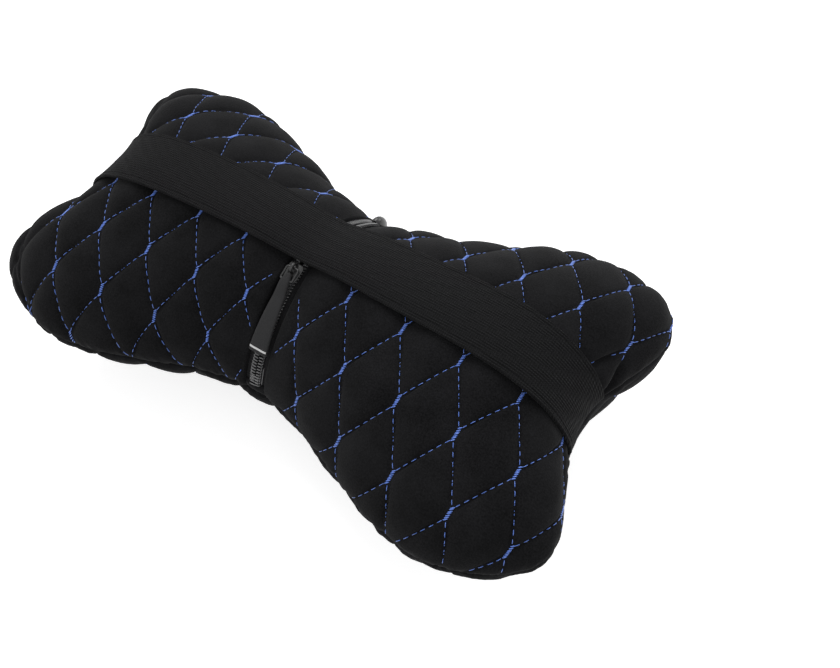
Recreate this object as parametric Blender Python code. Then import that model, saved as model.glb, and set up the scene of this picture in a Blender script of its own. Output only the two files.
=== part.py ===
"""Car neck pillow: a bone-shaped quilted cushion with an elastic band and a zip across its waist.

The pillow lies on its front panel. X runs along the long axis, Y across it and Z up. Lengths in
this script are millimetres, and each mesh is written in metres. Every fabric layer is an offset of
one closed form, so that the cover, the filling, the zip and the band follow each other.
"""
import math

import bmesh
import bpy
import numpy as np
from mathutils import Matrix, Vector
from mathutils.geometry import delaunay_2d_cdt

MM = 0.001

# The sewn form: its seam outline, which curls up toward the ends, and the height of its two panels
NOTCH_LENGTH = 274.0
LOBE_LENGTH = 354.0
WAIST_WIDTH = 108.5
LOBE_WIDTH = 167.0
LOBE_PLACE = 124.0
LOBE_OFFSET = 75.0
END_SQUARENESS = 6.0
SIDE_SQUARENESS = 1.6
BACK_ROUNDNESS = 0.63
FRONT_ROUNDNESS = 0.7
BACK_HEIGHT = 45.0
FRONT_HEIGHT = 48.0
SEAM_CURL = 12.0
CURL_PLACE = 132.0
REST_DEPTH = 43.0

# The quilting: its diamonds, and on each panel their first node and how the cloth is stretched
DIAMOND_LENGTH = 27.4
DIAMOND_WIDTH = 47.5
PUFF_HEIGHT = 3.6
LINE_HEIGHT = 0.2
RIGHT_NODE = (87.4, -12.4)
LEFT_NODE = (-71.9, -31.8)
FRONT_NODE = (0.0, 0.0)
RIGHT_STRETCH = ((1.032, 0.0), (-0.056, 1.061))
LEFT_STRETCH = ((1.006, 0.009), (0.055, 1.022))
FRONT_STRETCH = ((1.0, 0.0), (0.0, 1.0))
CELL_STEPS = 6

# The padded fabric and its seams
PADDING = 5.0
SEAM_THICKNESS = 1.3
SEAM_TAPER = 16.0
SEAM_STEP = 6.2
LINING_STEP = 24.0
LANDING_STEP = 3.6
GAP = 0.3
WELD = 0.01

# The zip across the waist
ZIP_OPENING = 12.0
ZIP_VALLEY = 3.0
VALLEY_REACH = 17.0
TAPE_EDGE = 9.4
TAPE_THICKNESS = 0.6
ZIP_END_MARGIN = 5.0
COIL_WIDTH = 2.9
COIL_HEIGHT = 1.7
COIL_PITCH = 1.55
COIL_PARTING = 1.6
COIL_SLOPE = 0.25
GROOVE_HEIGHT = 0.62
GROOVE_WIDTH = 0.86
STOP_LENGTH = 6.0
STOP_WIDTH = 6.6
NEAR_STOP_HEIGHT = 1.7
FAR_STOP_HEIGHT = 2.8

# The slider, its link and the pull tab
SLIDER_PLACE = -10.4
SLIDER_LENGTH = 9.4
SLIDER_WIDTH = 8.2
SLIDER_TAIL_WIDTH = 6.8
PLATE_THICKNESS = 1.0
PLATE_CLEARANCE = 0.45
PLATE_CORNER = 1.6
WEDGE_LENGTH = 2.2
CROWN_PLACE = 1.6
CROWN_SPAN = 4.2
CROWN_WIRE = 0.7
LINK_WIRE = 0.5
LINK_WIDTH = 7.2
LINK_LENGTH = 6.2
TAB_LENGTH = 36.0
TAB_WIDTH = 10.0
TAB_NECK = 3.8
TAB_THICKNESS = 1.8
TAB_EYE = 2.6
TAB_LIP = 1.8
TAB_SLOPE = 12.0
TAB_REST = 0.6
TAB_CHAMFER = 0.5
TIP_TAPER = 0.35

# The elastic band
BAND_WIDTH = 30.0
BAND_BOW = 10.0
BAND_THICKNESS = 1.4
BAND_STEP = 7.0
BAND_CROWDING = 1.2
BAND_STRIPS = 4
BAND_SLACK = 0.5

HALF_OPENING = ZIP_OPENING / 2
LANDING = TAPE_EDGE + GAP
TAPE_DEPTH = SEAM_THICKNESS + GAP
COIL_DEPTH = TAPE_DEPTH - GAP
FILL_UNDER_ZIP = TAPE_DEPTH + TAPE_THICKNESS + PLATE_CLEARANCE + PLATE_THICKNESS + GAP


def half_width(x):
    """Half the width of the form at x, from the waist out to the lobes."""
    spread = np.sin(0.5 * np.pi * np.clip(np.abs(x) / LOBE_PLACE, 0, 1)) ** 2
    return 0.5 * (WAIST_WIDTH + (LOBE_WIDTH - WAIST_WIDTH) * spread)


def half_length(y):
    """Half the length of the form at y, from the notch out to the lobes."""
    spread = np.sin(0.5 * np.pi * np.clip(np.abs(y) / LOBE_OFFSET, 0, 1)) ** 2
    return 0.5 * (NOTCH_LENGTH + (LOBE_LENGTH - NOTCH_LENGTH) * spread)


def fullness(x, y):
    """1 in the middle of the form and 0 on the seam outline."""
    along = np.abs(x / half_length(y)) ** END_SQUARENESS
    across = np.abs(y / half_width(x)) ** SIDE_SQUARENESS
    return 1 - along - across


def outline_radius(theta):
    """Distance from the middle to the seam in each direction, found by halving."""
    near = np.zeros_like(theta)
    far = np.full_like(theta, LOBE_LENGTH)
    for _ in range(40):
        middle = 0.5 * (near + far)
        inside = fullness(middle * np.cos(theta), middle * np.sin(theta)) > 0
        near = np.where(inside, middle, near)
        far = np.where(inside, far, middle)
    return near


def ray_lengths(theta):
    """Plan radius and cloth length at steps from the middle out to the seam, in each direction."""
    steps = np.sin(np.linspace(0, 0.5 * np.pi, 90))
    radius = outline_radius(theta)[:, None] * steps
    x = radius * np.cos(theta)[:, None]
    y = radius * np.sin(theta)[:, None]
    height = BACK_HEIGHT * np.clip(fullness(x, y), 0, 1) ** BACK_ROUNDNESS
    pieces = np.hypot(np.diff(radius, axis=1), np.diff(height, axis=1))
    lengths = np.concatenate([np.zeros((len(theta), 1)), np.cumsum(pieces, axis=1)], axis=1)
    return radius, lengths


def to_cloth(plan):
    """Flat cloth position of plan points, with the cloth length kept along each ray."""
    theta = np.arctan2(plan[:, 1], plan[:, 0])
    radius, lengths = ray_lengths(theta)
    distance = np.hypot(plan[:, 0], plan[:, 1])
    reach = np.array([np.interp(d, r, s) for d, r, s in zip(distance, radius, lengths)])
    return np.stack([reach * np.cos(theta), reach * np.sin(theta)], axis=1)


def to_plan(cloth):
    """Plan position of flat cloth points, and their cloth distance from the seam."""
    theta = np.arctan2(cloth[:, 1], cloth[:, 0])
    radius, lengths = ray_lengths(theta)
    distance = np.hypot(cloth[:, 0], cloth[:, 1])
    reach = np.array([np.interp(d, s, r) for d, r, s in zip(distance, radius, lengths)])
    plan = np.stack([reach * np.cos(theta), reach * np.sin(theta)], axis=1)
    return plan, lengths[:, -1] - distance


def curl(x):
    """How far the seam rises over the middle of the pillow, out toward its ends."""
    return SEAM_CURL * (x / CURL_PLACE) ** 2


def form_points(plan, side):
    """Points of the sewn form over plan points, and their outward normals; side is 1 or -1."""
    x, y = plan[:, 0], plan[:, 1]
    roundness = BACK_ROUNDNESS if side > 0 else FRONT_ROUNDNESS
    height = BACK_HEIGHT if side > 0 else FRONT_HEIGHT + curl(x)
    full = np.clip(fullness(x, y), 0, 1)
    z = side * height * full ** roundness
    step = 0.05
    slope_x = (fullness(x + step, y) - fullness(x - step, y)) / (2 * step)
    slope_y = (fullness(x, y + step) - fullness(x, y - step)) / (2 * step)
    slope_z = -side * full ** (1 - roundness) / (roundness * height)
    normals = -np.stack([slope_x, slope_y, slope_z], axis=1)
    normals /= np.linalg.norm(normals, axis=1, keepdims=True)
    return np.stack([x, y, z + curl(x)], axis=1), normals


def valley(plan):
    """How deep the zip pulls the back panel in, fading out toward the seam."""
    full = np.clip(fullness(plan[:, 0], plan[:, 1]), 0, 1)
    return ZIP_VALLEY * np.sqrt(full) * np.exp(-(plan[:, 0] / VALLEY_REACH) ** 2)


def lay(plan, side, offset):
    """Points at an offset from the form, flattened where the front rests on a surface."""
    points, normals = form_points(plan, side)
    if side > 0:
        offset = offset - valley(plan)
    points = points + normals * np.reshape(offset, (-1, 1))
    if side < 0:
        points[:, 2] = np.maximum(points[:, 2], -REST_DEPTH - np.minimum(offset, 0))
    return points


def edge_fade(seam_distance, zip_distance):
    """0 on a sewn edge, rising to 1 away from it like the edge of a cushion."""
    return np.clip(np.minimum(seam_distance, zip_distance) / SEAM_TAPER, 0, 1) ** 0.5


def puff(cloth, node, stretch, seam_distance, zip_distance):
    """Height of the quilted diamonds over the form."""
    even = (cloth - np.array(node)) @ np.linalg.inv(stretch).T
    along = even[:, 0] / DIAMOND_LENGTH
    across = even[:, 1] / DIAMOND_WIDTH
    rise = np.abs(np.sin(np.pi * (along + across)) * np.sin(np.pi * (along - across))) ** 0.5
    return PUFF_HEIGHT * edge_fade(seam_distance, zip_distance) * (LINE_HEIGHT + (1 - LINE_HEIGHT) * rise)


def thickness(seam_distance, zip_distance):
    """Thickness of the padded fabric under the form, thin where it is sewn."""
    return SEAM_THICKNESS + (PADDING - SEAM_THICKNESS) * edge_fade(seam_distance, zip_distance) ** 2


def seam_arc():
    """Plan points of the seam round the right half, from the zip's near end to its far end."""
    theta = np.linspace(-0.5 * np.pi, 0.5 * np.pi, 1201)
    radius = outline_radius(theta)
    x = radius * np.cos(theta)
    y = radius * np.sin(theta)
    inside = x >= HALF_OPENING
    x, y = x[inside], y[inside]
    run = np.concatenate([[0], np.cumsum(np.hypot(np.diff(x), np.diff(y)))])
    count = int(run[-1] / SEAM_STEP) + 1
    where = np.linspace(0, run[-1], count)
    theta = np.arctan2(np.interp(where, run, y), np.interp(where, run, x))
    radius = outline_radius(theta)
    arc = np.stack([radius * np.cos(theta), radius * np.sin(theta)], axis=1)
    waist = half_width(HALF_OPENING)
    arc[0] = (HALF_OPENING, -waist)
    arc[-1] = (HALF_OPENING, waist)
    return arc


def zip_edge(x, half_span, step):
    """Plan points along the zip at x, from the far end to the near one, without its ends."""
    count = int(2 * half_span / step)
    y = half_span * np.sin(0.5 * np.pi * np.linspace(1, -1, count + 1)[1:-1])
    return np.stack([np.full_like(y, x), y], axis=1)


def mirrored(points):
    """The same points on the other side of the zip, in the opposite order."""
    return points[::-1] * np.array([-1.0, 1.0])


def triangulate(boundary, inner, creases):
    """Triangles of the flat cloth inside a boundary, through the inner points and creases."""
    cloth = np.concatenate([boundary, inner])
    count = len(boundary)
    loop = list(range(count))
    edges = [(a + count, b + count) for a, b in creases]
    faces = delaunay_2d_cdt([Vector(p) for p in cloth], edges, [loop], 1, 1e-5)[2]
    return [tuple(face) for face in faces]


def diamond_grid(node, stretch, inside):
    """Cloth points on the quilting lines and between them, and the creases that join them."""
    step_u = DIAMOND_LENGTH / CELL_STEPS
    step_v = DIAMOND_WIDTH / CELL_STEPS
    reach_u = int(2 * LOBE_LENGTH / step_u)
    reach_v = int(2 * LOBE_WIDTH / step_v)
    cells = [(i, j) for i in range(-reach_u, reach_u) for j in range(-reach_v, reach_v)]
    cloth = np.array(node) + np.array([(i * step_u, j * step_v) for i, j in cells]) @ np.transpose(stretch)
    kept = np.flatnonzero(inside(cloth))
    index = {cells[k]: n for n, k in enumerate(kept)}
    creases = []
    for i, j in index:
        if (i - j) % CELL_STEPS == 0 and (i + 1, j + 1) in index:
            creases.append((index[i, j], index[i + 1, j + 1]))
        if (i + j) % CELL_STEPS == 0 and (i + 1, j - 1) in index:
            creases.append((index[i, j], index[i + 1, j - 1]))
    return cloth[kept], creases


def lining_grid(inside):
    """Coarse cloth points for the hidden side of a panel."""
    span = np.arange(-LOBE_LENGTH, LOBE_LENGTH, LINING_STEP)
    cloth = np.array([(u + 0.5 * LINING_STEP * (k % 2), v) for k, v in enumerate(span) for u in span])
    return cloth[inside(cloth)]


def object_from(name, verts, faces, material, collection, parent):
    """A mesh object from points in millimetres."""
    mesh = bpy.data.meshes.new(name)
    mesh.from_pydata([tuple(MM * c for c in v) for v in verts], [], faces)
    mesh.materials.append(material)
    work = bmesh.new()
    work.from_mesh(mesh)
    bmesh.ops.recalc_face_normals(work, faces=work.faces)
    work.to_mesh(mesh)
    work.free()
    piece = bpy.data.objects.new(name, mesh)
    piece.parent = parent
    collection.objects.link(piece)
    return piece


def make_material(name, color, roughness, metallic=0.0):
    """A plain Principled material."""
    material = bpy.data.materials.new(name)
    material.use_nodes = True
    shader = material.node_tree.nodes["Principled BSDF"]
    shader.inputs["Base Color"].default_value = (*color, 1.0)
    shader.inputs["Roughness"].default_value = roughness
    shader.inputs["Metallic"].default_value = metallic
    material.diffuse_color = (*color, 1.0)
    return material


class Panel:
    """One cut panel of the cover: its boundary, its quilted face and its lining."""

    def __init__(self, side, half, node, stretch):
        self.side = side
        self.half = half
        self.node = node
        self.stretch = stretch
        arc = seam_arc()
        waist = outline_radius(np.array([0.5 * np.pi]))[0]
        edge = zip_edge(HALF_OPENING, waist, SEAM_STEP)
        if half > 0:
            self.boundary = np.concatenate([arc, edge])
        elif half < 0:
            self.boundary = np.concatenate([mirrored(arc), mirrored(edge)])
        else:
            self.boundary = np.concatenate([arc, mirrored(arc)])
        landing = zip_edge(half * LANDING, waist - LANDING, 2 * LANDING_STEP)
        self.landing = landing if half else np.zeros((0, 2))
        self.border = to_cloth(self.boundary)
        face, self.creases = diamond_grid(node, stretch, lambda c: self.holds(c, 0.5 * SEAM_STEP, 0))
        self.face_plan, _ = to_plan(face)
        self.face_triangles = triangulate(self.border, face, self.creases)
        lining = lining_grid(lambda c: self.holds(c, 0.5 * LINING_STEP, LANDING - HALF_OPENING))
        lining_plan, _ = to_plan(lining)
        self.lining_plan = np.concatenate([self.landing, lining_plan])
        lining = np.concatenate([to_cloth(self.landing), lining]) if half else lining
        self.lining_triangles = triangulate(self.border, lining, [])

    def holds(self, cloth, margin, zip_margin):
        """Whether cloth points lie inside the panel by a margin."""
        plan, distance = to_plan(cloth)
        held = distance > margin
        if self.half:
            held &= plan[:, 0] * self.half > HALF_OPENING + margin + zip_margin
        return held

    def distances(self, plan):
        """Cloth distance from the seam, and distance from the zip's edge."""
        _, from_seam = to_plan(to_cloth(plan))
        from_zip = np.abs(plan[:, 0]) - HALF_OPENING if self.half else np.full(len(plan), LOBE_LENGTH)
        return np.clip(from_seam, 0, None), np.clip(from_zip, 0, None)

    def outer(self):
        """The quilted face."""
        plan = np.concatenate([self.boundary, self.face_plan])
        relief = puff(to_cloth(plan), self.node, self.stretch, *self.distances(plan))
        relief[:len(self.boundary)] = 0
        return lay(plan, self.side, relief) + self.seam_gap()

    def inner(self, extra):
        """The lining, or a layer at an extra depth under it."""
        plan = np.concatenate([self.boundary, self.lining_plan])
        from_seam, from_zip = self.distances(plan)
        under_zip = np.where(from_zip < LANDING - HALF_OPENING + 0.01, FILL_UNDER_ZIP, 0)
        depth = thickness(from_seam, np.where(under_zip > 0, 0, from_zip))
        if extra:
            depth = np.maximum(depth + extra, np.where(from_seam > 0.01, under_zip, 0))
        return lay(plan, self.side, -depth)

    def seam_gap(self):
        """Shift that keeps the front and the back panels apart along the seam."""
        return np.array([0, 0, 0.5 * self.side * GAP])

    def solid(self):
        """Points and faces of the padded panel."""
        outer = self.outer()
        inner = self.inner(0) + self.seam_gap()
        count = len(self.boundary)
        shift = len(outer)
        faces = list(self.face_triangles)
        faces += [tuple(reversed([v + shift for v in face])) for face in self.lining_triangles]
        for a in range(count):
            b = (a + 1) % count
            faces.append((b, a, a + shift, b + shift))
        return np.concatenate([outer, inner]), faces


def make_filling(front, right, left, material, collection, parent):
    """The inner cushion, which follows the linings of the three panels."""
    layers = [panel.inner(GAP) for panel in (front, right, left)]
    for panel, layer in zip((front, right, left), layers):
        seam = layer[:len(panel.boundary)]
        seam[:, 2] = curl(seam[:, 0])
    verts = np.concatenate(layers)
    starts = np.cumsum([0] + [len(layer) for layer in layers])
    faces = []
    for panel, start in zip((front, right, left), starts):
        faces += [tuple(v + start for v in face) for face in panel.lining_triangles]
    arc = len(seam_arc())
    right_edge = [arc - 1] + list(range(arc, len(right.boundary))) + [0]
    left_edge = [0] + list(range(len(left.boundary) - 1, arc - 1, -1)) + [arc - 1]
    for k in range(len(right_edge) - 1):
        a, b = right_edge[k] + starts[1], right_edge[k + 1] + starts[1]
        c, d = left_edge[k] + starts[2], left_edge[k + 1] + starts[2]
        faces.append((a, b, d, c))
    piece = object_from("inner_pillow", verts, faces, material, collection, parent)
    weld(piece)
    return piece


def weld(piece):
    """Joins points that lie on each other and turns the faces outward."""
    work = bmesh.new()
    work.from_mesh(piece.data)
    bmesh.ops.remove_doubles(work, verts=work.verts, dist=WELD * MM)
    bmesh.ops.recalc_face_normals(work, faces=work.faces)
    work.to_mesh(piece.data)
    work.free()


def loft(sections):
    """Points and faces of a solid through closed sections with flat ends."""
    count = len(sections[0])
    verts = np.concatenate(sections)
    faces = [tuple(range(count)), tuple(range(len(verts) - count, len(verts)))]
    for k in range(len(sections) - 1):
        for a in range(count):
            b = (a + 1) % count
            faces.append((k * count + a, k * count + b, (k + 1) * count + b, (k + 1) * count + a))
    return verts, faces


def zip_span():
    """Half the length of the zip in plan, short of the seam."""
    waist = outline_radius(np.array([0.5 * np.pi]))[0]
    plan = np.array([(0.0, y) for y in np.linspace(0, waist, 200)])
    _, distance = to_plan(to_cloth(plan))
    return float(np.interp(-ZIP_END_MARGIN, -distance, plan[:, 1]))


def zip_stations(start, end, step):
    """Values of y between two places, at equal steps of cloth length."""
    y = np.linspace(start, end, 400)
    plan = np.stack([np.zeros_like(y), y], axis=1)
    cloth = to_cloth(plan)[:, 1]
    run = np.abs(cloth - cloth[0])
    count = max(2, int(round(run[-1] / step)) + 1)
    return np.interp(np.linspace(0, run[-1], count), run, y)


def zip_point(x, y, offset):
    """A point over the zip's line; x is measured across, the offset along the normal at x = 0."""
    plan = np.array([(0.0, y)])
    return lay(plan, 1, np.array([offset]))[0] + np.array([x, 0, 0])


def parting(y):
    """Half the distance between the two coils at y: closed near the slider's tail, open beyond."""
    opening = np.clip((y - SLIDER_PLACE) / SLIDER_LENGTH + 0.5, 0, 1)
    return 0.5 * GAP + (0.5 * COIL_PARTING - 0.5 * GAP) * opening


def make_tape(name, side, material, collection, parent):
    """One woven tape of the zip, under the edge of its panel."""
    span = zip_span()
    sections = []
    for y in zip_stations(-span, span, SEAM_STEP):
        inner = parting(y)
        corners = [(inner, -TAPE_DEPTH), (TAPE_EDGE, -TAPE_DEPTH)]
        corners += [(x, z - TAPE_THICKNESS) for x, z in reversed(corners)]
        sections.append(np.array([zip_point(side * x, y, z) for x, z in corners]))
    verts, faces = loft(sections)
    return object_from(name, verts, faces, material, collection, parent)


def make_coil(name, side, material, collection, parent):
    """One half of the coil: a row of rounded teeth on its tape."""
    start = -zip_span() + STOP_LENGTH + GAP
    end = zip_span() - STOP_LENGTH - GAP
    sections = []
    stations = zip_stations(start, end, 0.5 * COIL_PITCH)
    for k, y in enumerate(stations):
        high, wide = (GROOVE_HEIGHT, GROOVE_WIDTH) if k % 2 else (1.0, 1.0)
        inner = parting(y)
        outer = inner + COIL_WIDTH * wide
        top = -COIL_DEPTH + COIL_HEIGHT * high
        inset = COIL_SLOPE * (outer - inner)
        corners = [(inner, -COIL_DEPTH), (outer, -COIL_DEPTH), (outer - inset, top), (inner + inset, top)]
        sections.append(np.array([zip_point(side * x, y, z) for x, z in corners]))
    verts, faces = loft(sections)
    return object_from(name, verts, faces, material, collection, parent)


def make_stop(name, end, height, material, collection, parent):
    """The sewn block that closes one end of the zip."""
    span = zip_span()
    half = 0.5 * STOP_WIDTH
    sections = []
    for y in np.linspace(end * span, end * (span - STOP_LENGTH), 4):
        corners = [(-half, -COIL_DEPTH), (half, -COIL_DEPTH)]
        for k in range(1, 6):
            angle = math.pi * k / 6
            corners.append((half * math.cos(angle), -COIL_DEPTH + height * math.sin(angle)))
        sections.append(np.array([zip_point(x, y, z) for x, z in corners]))
    verts, faces = loft(sections)
    return object_from(name, verts, faces, material, collection, parent)


def slider_frame():
    """Matrix, in metres, of the slider: Y along the zip and Z out of the pillow."""
    _, normals = form_points(np.array([(0.0, SLIDER_PLACE)]), 1)
    up = Vector(normals[0])
    across = Vector((1, 0, 0))
    along = up.cross(across)
    where = zip_point(0, SLIDER_PLACE, 0)
    matrix = Matrix((across, along, up)).transposed().to_4x4()
    matrix.translation = Vector(where) * MM
    return matrix


def rounded_plate(name, low, high, collection):
    """A slider plate: a trapezium with rounded corners, wider at its mouth."""
    work = bmesh.new()
    half = 0.5 * SLIDER_LENGTH
    corners = [(-0.5 * SLIDER_TAIL_WIDTH, -half), (0.5 * SLIDER_TAIL_WIDTH, -half),
               (0.5 * SLIDER_WIDTH, half), (-0.5 * SLIDER_WIDTH, half)]
    base = [work.verts.new((x * MM, y * MM, low * MM)) for x, y in corners]
    face = work.faces.new(base)
    lifted = bmesh.ops.extrude_face_region(work, geom=[face])["geom"]
    for vert in (item for item in lifted if isinstance(item, bmesh.types.BMVert)):
        vert.co.z = high * MM
    upright = [e for e in work.edges if abs(e.verts[0].co.z - e.verts[1].co.z) > 0.1 * MM]
    bmesh.ops.bevel(work, geom=upright, offset=PLATE_CORNER * MM, segments=3, affect="EDGES", profile=0.5)
    bmesh.ops.recalc_face_normals(work, faces=work.faces)
    mesh = bpy.data.meshes.new(name)
    work.to_mesh(mesh)
    work.free()
    plate = bpy.data.objects.new(name, mesh)
    collection.objects.link(plate)
    return plate


def wire(name, points, radius, collection, cyclic=False):
    """A round wire through points in millimetres, as a closed mesh."""
    curve = bpy.data.curves.new(name, "CURVE")
    curve.dimensions = "3D"
    curve.bevel_depth = radius * MM
    curve.bevel_resolution = 2
    curve.use_fill_caps = True
    spline = curve.splines.new("POLY")
    spline.points.add(len(points) - 1)
    for target, point in zip(spline.points, points):
        target.co = (point[0] * MM, point[1] * MM, point[2] * MM, 1)
    spline.use_cyclic_u = cyclic
    holder = bpy.data.objects.new(name, curve)
    collection.objects.link(holder)
    bpy.context.view_layer.update()
    mesh = bpy.data.meshes.new_from_object(holder.evaluated_get(bpy.context.evaluated_depsgraph_get()))
    bpy.data.objects.remove(holder)
    piece = bpy.data.objects.new(name, mesh)
    collection.objects.link(piece)
    weld(piece)
    return piece


def combine(piece, others, operation):
    """Adds or cuts other solids with exact Booleans, and hides them."""
    for other in others:
        other.hide_render = True
        other.display_type = "WIRE"
        step = piece.modifiers.new(other.name, "BOOLEAN")
        step.operation = operation
        step.solver = "EXACT"
        step.object = other


def coil_top():
    """Height of the coil over the zip's line."""
    return COIL_HEIGHT - COIL_DEPTH


def plate_levels():
    """Lower and upper faces of the slider's two plates."""
    top_low = coil_top() + PLATE_CLEARANCE
    bottom_high = -TAPE_DEPTH - TAPE_THICKNESS - PLATE_CLEARANCE
    return (bottom_high - PLATE_THICKNESS, bottom_high), (top_low, top_low + PLATE_THICKNESS)


def crown_axis():
    """Place of the link's bar in the slider's frame: along and up."""
    _, top = plate_levels()
    return CROWN_PLACE, top[1] + GAP + 0.5 * TAB_EYE


def make_slider(material, collection, cutters, parent):
    """The slider: two plates round the tapes, the wedge between the coils and the crown on top."""
    bottom, top = plate_levels()
    slider = rounded_plate("zip_slider", top[0], top[1], collection)
    slider.data.materials.append(material)
    lower = rounded_plate("slider_lower_plate", bottom[0], bottom[1], cutters)
    wedge_width = COIL_PARTING - 2 * GAP
    work = bmesh.new()
    bmesh.ops.create_cube(work, size=1)
    height = top[1] - bottom[0] - PLATE_THICKNESS
    shape = Matrix.Diagonal((wedge_width * MM, WEDGE_LENGTH * MM, height * MM, 1))
    place = 0.5 * (SLIDER_LENGTH - WEDGE_LENGTH) - GAP
    middle = Vector((0, place * MM, 0.5 * (top[1] + bottom[0]) * MM))
    bmesh.ops.transform(work, matrix=Matrix.Translation(middle) @ shape, verts=work.verts)
    mesh = bpy.data.meshes.new("slider_wedge")
    work.to_mesh(mesh)
    work.free()
    wedge = bpy.data.objects.new("slider_wedge", mesh)
    cutters.objects.link(wedge)
    along, up = crown_axis()
    foot = 0.5 * (top[0] + top[1])
    rise = up + LINK_WIRE + GAP + CROWN_WIRE - foot
    arch = []
    for k in range(13):
        angle = math.pi * k / 12
        bulge = abs(math.sin(angle)) ** 0.6
        arch.append((0, along - 0.5 * CROWN_SPAN * math.cos(angle), foot + rise * bulge))
    crown = wire("slider_crown", arch, CROWN_WIRE, cutters)
    combine(slider, (lower, wedge, crown), "UNION")
    slider.parent = parent
    slider.matrix_local = slider_frame()
    for tool in (lower, wedge, crown):
        tool.parent = parent
        tool.matrix_local = slider_frame()
    return slider


def link_frame():
    """Matrix of the link and the tab, with its origin on the crown's axis."""
    along, up = crown_axis()
    return slider_frame() @ Matrix.Translation((0, along * MM, up * MM))


def make_link(material, collection, parent):
    """The wire loop that hangs in the crown and holds the tab."""
    half = 0.5 * LINK_WIDTH - LINK_WIRE
    corner = 1.5 * LINK_WIRE
    points = []
    centres = [(half - corner, -corner), (-half + corner, -corner),
               (-half + corner, -LINK_LENGTH + corner), (half - corner, -LINK_LENGTH + corner)]
    for turn, (x, y) in enumerate(centres):
        for k in range(4):
            angle = 0.5 * math.pi * (turn + k / 3)
            points.append((x + corner * math.cos(angle), y + corner * math.sin(angle), 0))
    link = wire("pull_link", points, LINK_WIRE, collection, cyclic=True)
    link.data.materials.append(material)
    link.parent = parent
    link.matrix_local = link_frame()
    return link


def make_tab(material, collection, cutters, parent):
    """The soft tapered tab, bent along the zip, with a hole for the link's bar."""
    bar = Vector((0, -LINK_LENGTH * MM, 0))
    frame = link_frame()
    start = frame @ bar
    back = frame.inverted()
    over = coil_top() + TAB_REST + 0.5 * TAB_THICKNESS
    _, normals = form_points(np.array([(0.0, start.y / MM)]), 1)
    bar_height = float(np.dot(np.array(start) / MM - zip_point(0, start.y / MM, 0), normals[0]))
    run = zip_stations(start.y / MM + TAB_LIP, -zip_span(), 0.5)
    path = [np.array(zip_point(0, y, over)) for y in run]
    lengths = np.concatenate([[0], np.cumsum([np.linalg.norm(b - a) for a, b in zip(path, path[1:])])])
    sections = []
    for s in np.linspace(0, TAB_LENGTH, 17):
        y = float(np.interp(s, lengths, run))
        share = s / TAB_LENGTH
        half = 0.5 * (TAB_NECK + (TAB_WIDTH - TAB_NECK) * share ** 0.8)
        half *= 1 - TIP_TAPER * max(0.0, 1 - s / TAB_LIP)
        near_link = min(1.0, max(0.0, (TAB_SLOPE - s) / (TAB_SLOPE - TAB_LIP)))
        thick = 0.5 * (TAB_THICKNESS + (TAB_EYE - TAB_THICKNESS) * near_link)
        lift = (bar_height - over) * near_link
        edge, flat = 0.4 * thick, half - TAB_CHAMFER
        ring = [(-half, -edge), (-flat, -thick), (flat, -thick), (half, -edge)]
        ring += [(-x, -z) for x, z in ring]
        sections.append(np.array([zip_point(x, y, over + lift + z) for x, z in ring]))
    verts, faces = loft(sections)
    verts = [tuple((back @ (Vector(v) * MM)) / MM) for v in verts]
    tab = object_from("pull_tab", verts, faces, material, collection, parent)
    tab.matrix_local = frame
    hole = wire("tab_hole", [(-TAB_WIDTH, -LINK_LENGTH, 0), (TAB_WIDTH, -LINK_LENGTH, 0)],
                LINK_WIRE + GAP, cutters)
    hole.parent = parent
    hole.matrix_local = frame
    combine(tab, (hole,), "DIFFERENCE")
    return tab


def outline_reach(y):
    """Half the length of the seam outline along the line at y, found by halving."""
    near, far = 0.0, LOBE_LENGTH
    for _ in range(40):
        middle = 0.5 * (near + far)
        near, far = (middle, far) if fullness(middle, y) > 0 else (near, middle)
    return near


def make_band(material, collection, parent):
    """The elastic band along the back, from one notch of the seam to the other."""
    across = np.linspace(-0.5 * BAND_WIDTH, 0.5 * BAND_WIDTH, BAND_STRIPS + 1)
    reach = np.array([outline_reach(y) for y in across])
    notch = outline_reach(0.0)
    half_cloth = to_cloth(np.array([(notch, 0.0)]))[0, 0]
    turn = np.linspace(-BAND_CROWDING, BAND_CROWDING, int(2 * half_cloth / BAND_STEP) + 1)
    run = half_cloth * np.sin(turn) / math.sin(BAND_CROWDING)
    centre, _ = to_plan(np.stack([run, np.zeros_like(run)], axis=1))
    sections = []
    for share in centre[:, 0] / notch:
        bow = BAND_BOW * (1 - share ** 2)
        plan = np.stack([share * reach, across + bow], axis=1)
        _, from_seam = to_plan(to_cloth(plan))
        rise = PUFF_HEIGHT * edge_fade(np.clip(from_seam, 0, None), LOBE_LENGTH) + BAND_SLACK
        under = lay(plan, 1, rise)
        over = lay(plan, 1, rise + BAND_THICKNESS)
        sections.append(np.concatenate([under, over[::-1]]) + np.array([0, 0, GAP]))
    verts, faces = loft(sections)
    return object_from("elastic_band", verts, faces, material, collection, parent)


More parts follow.
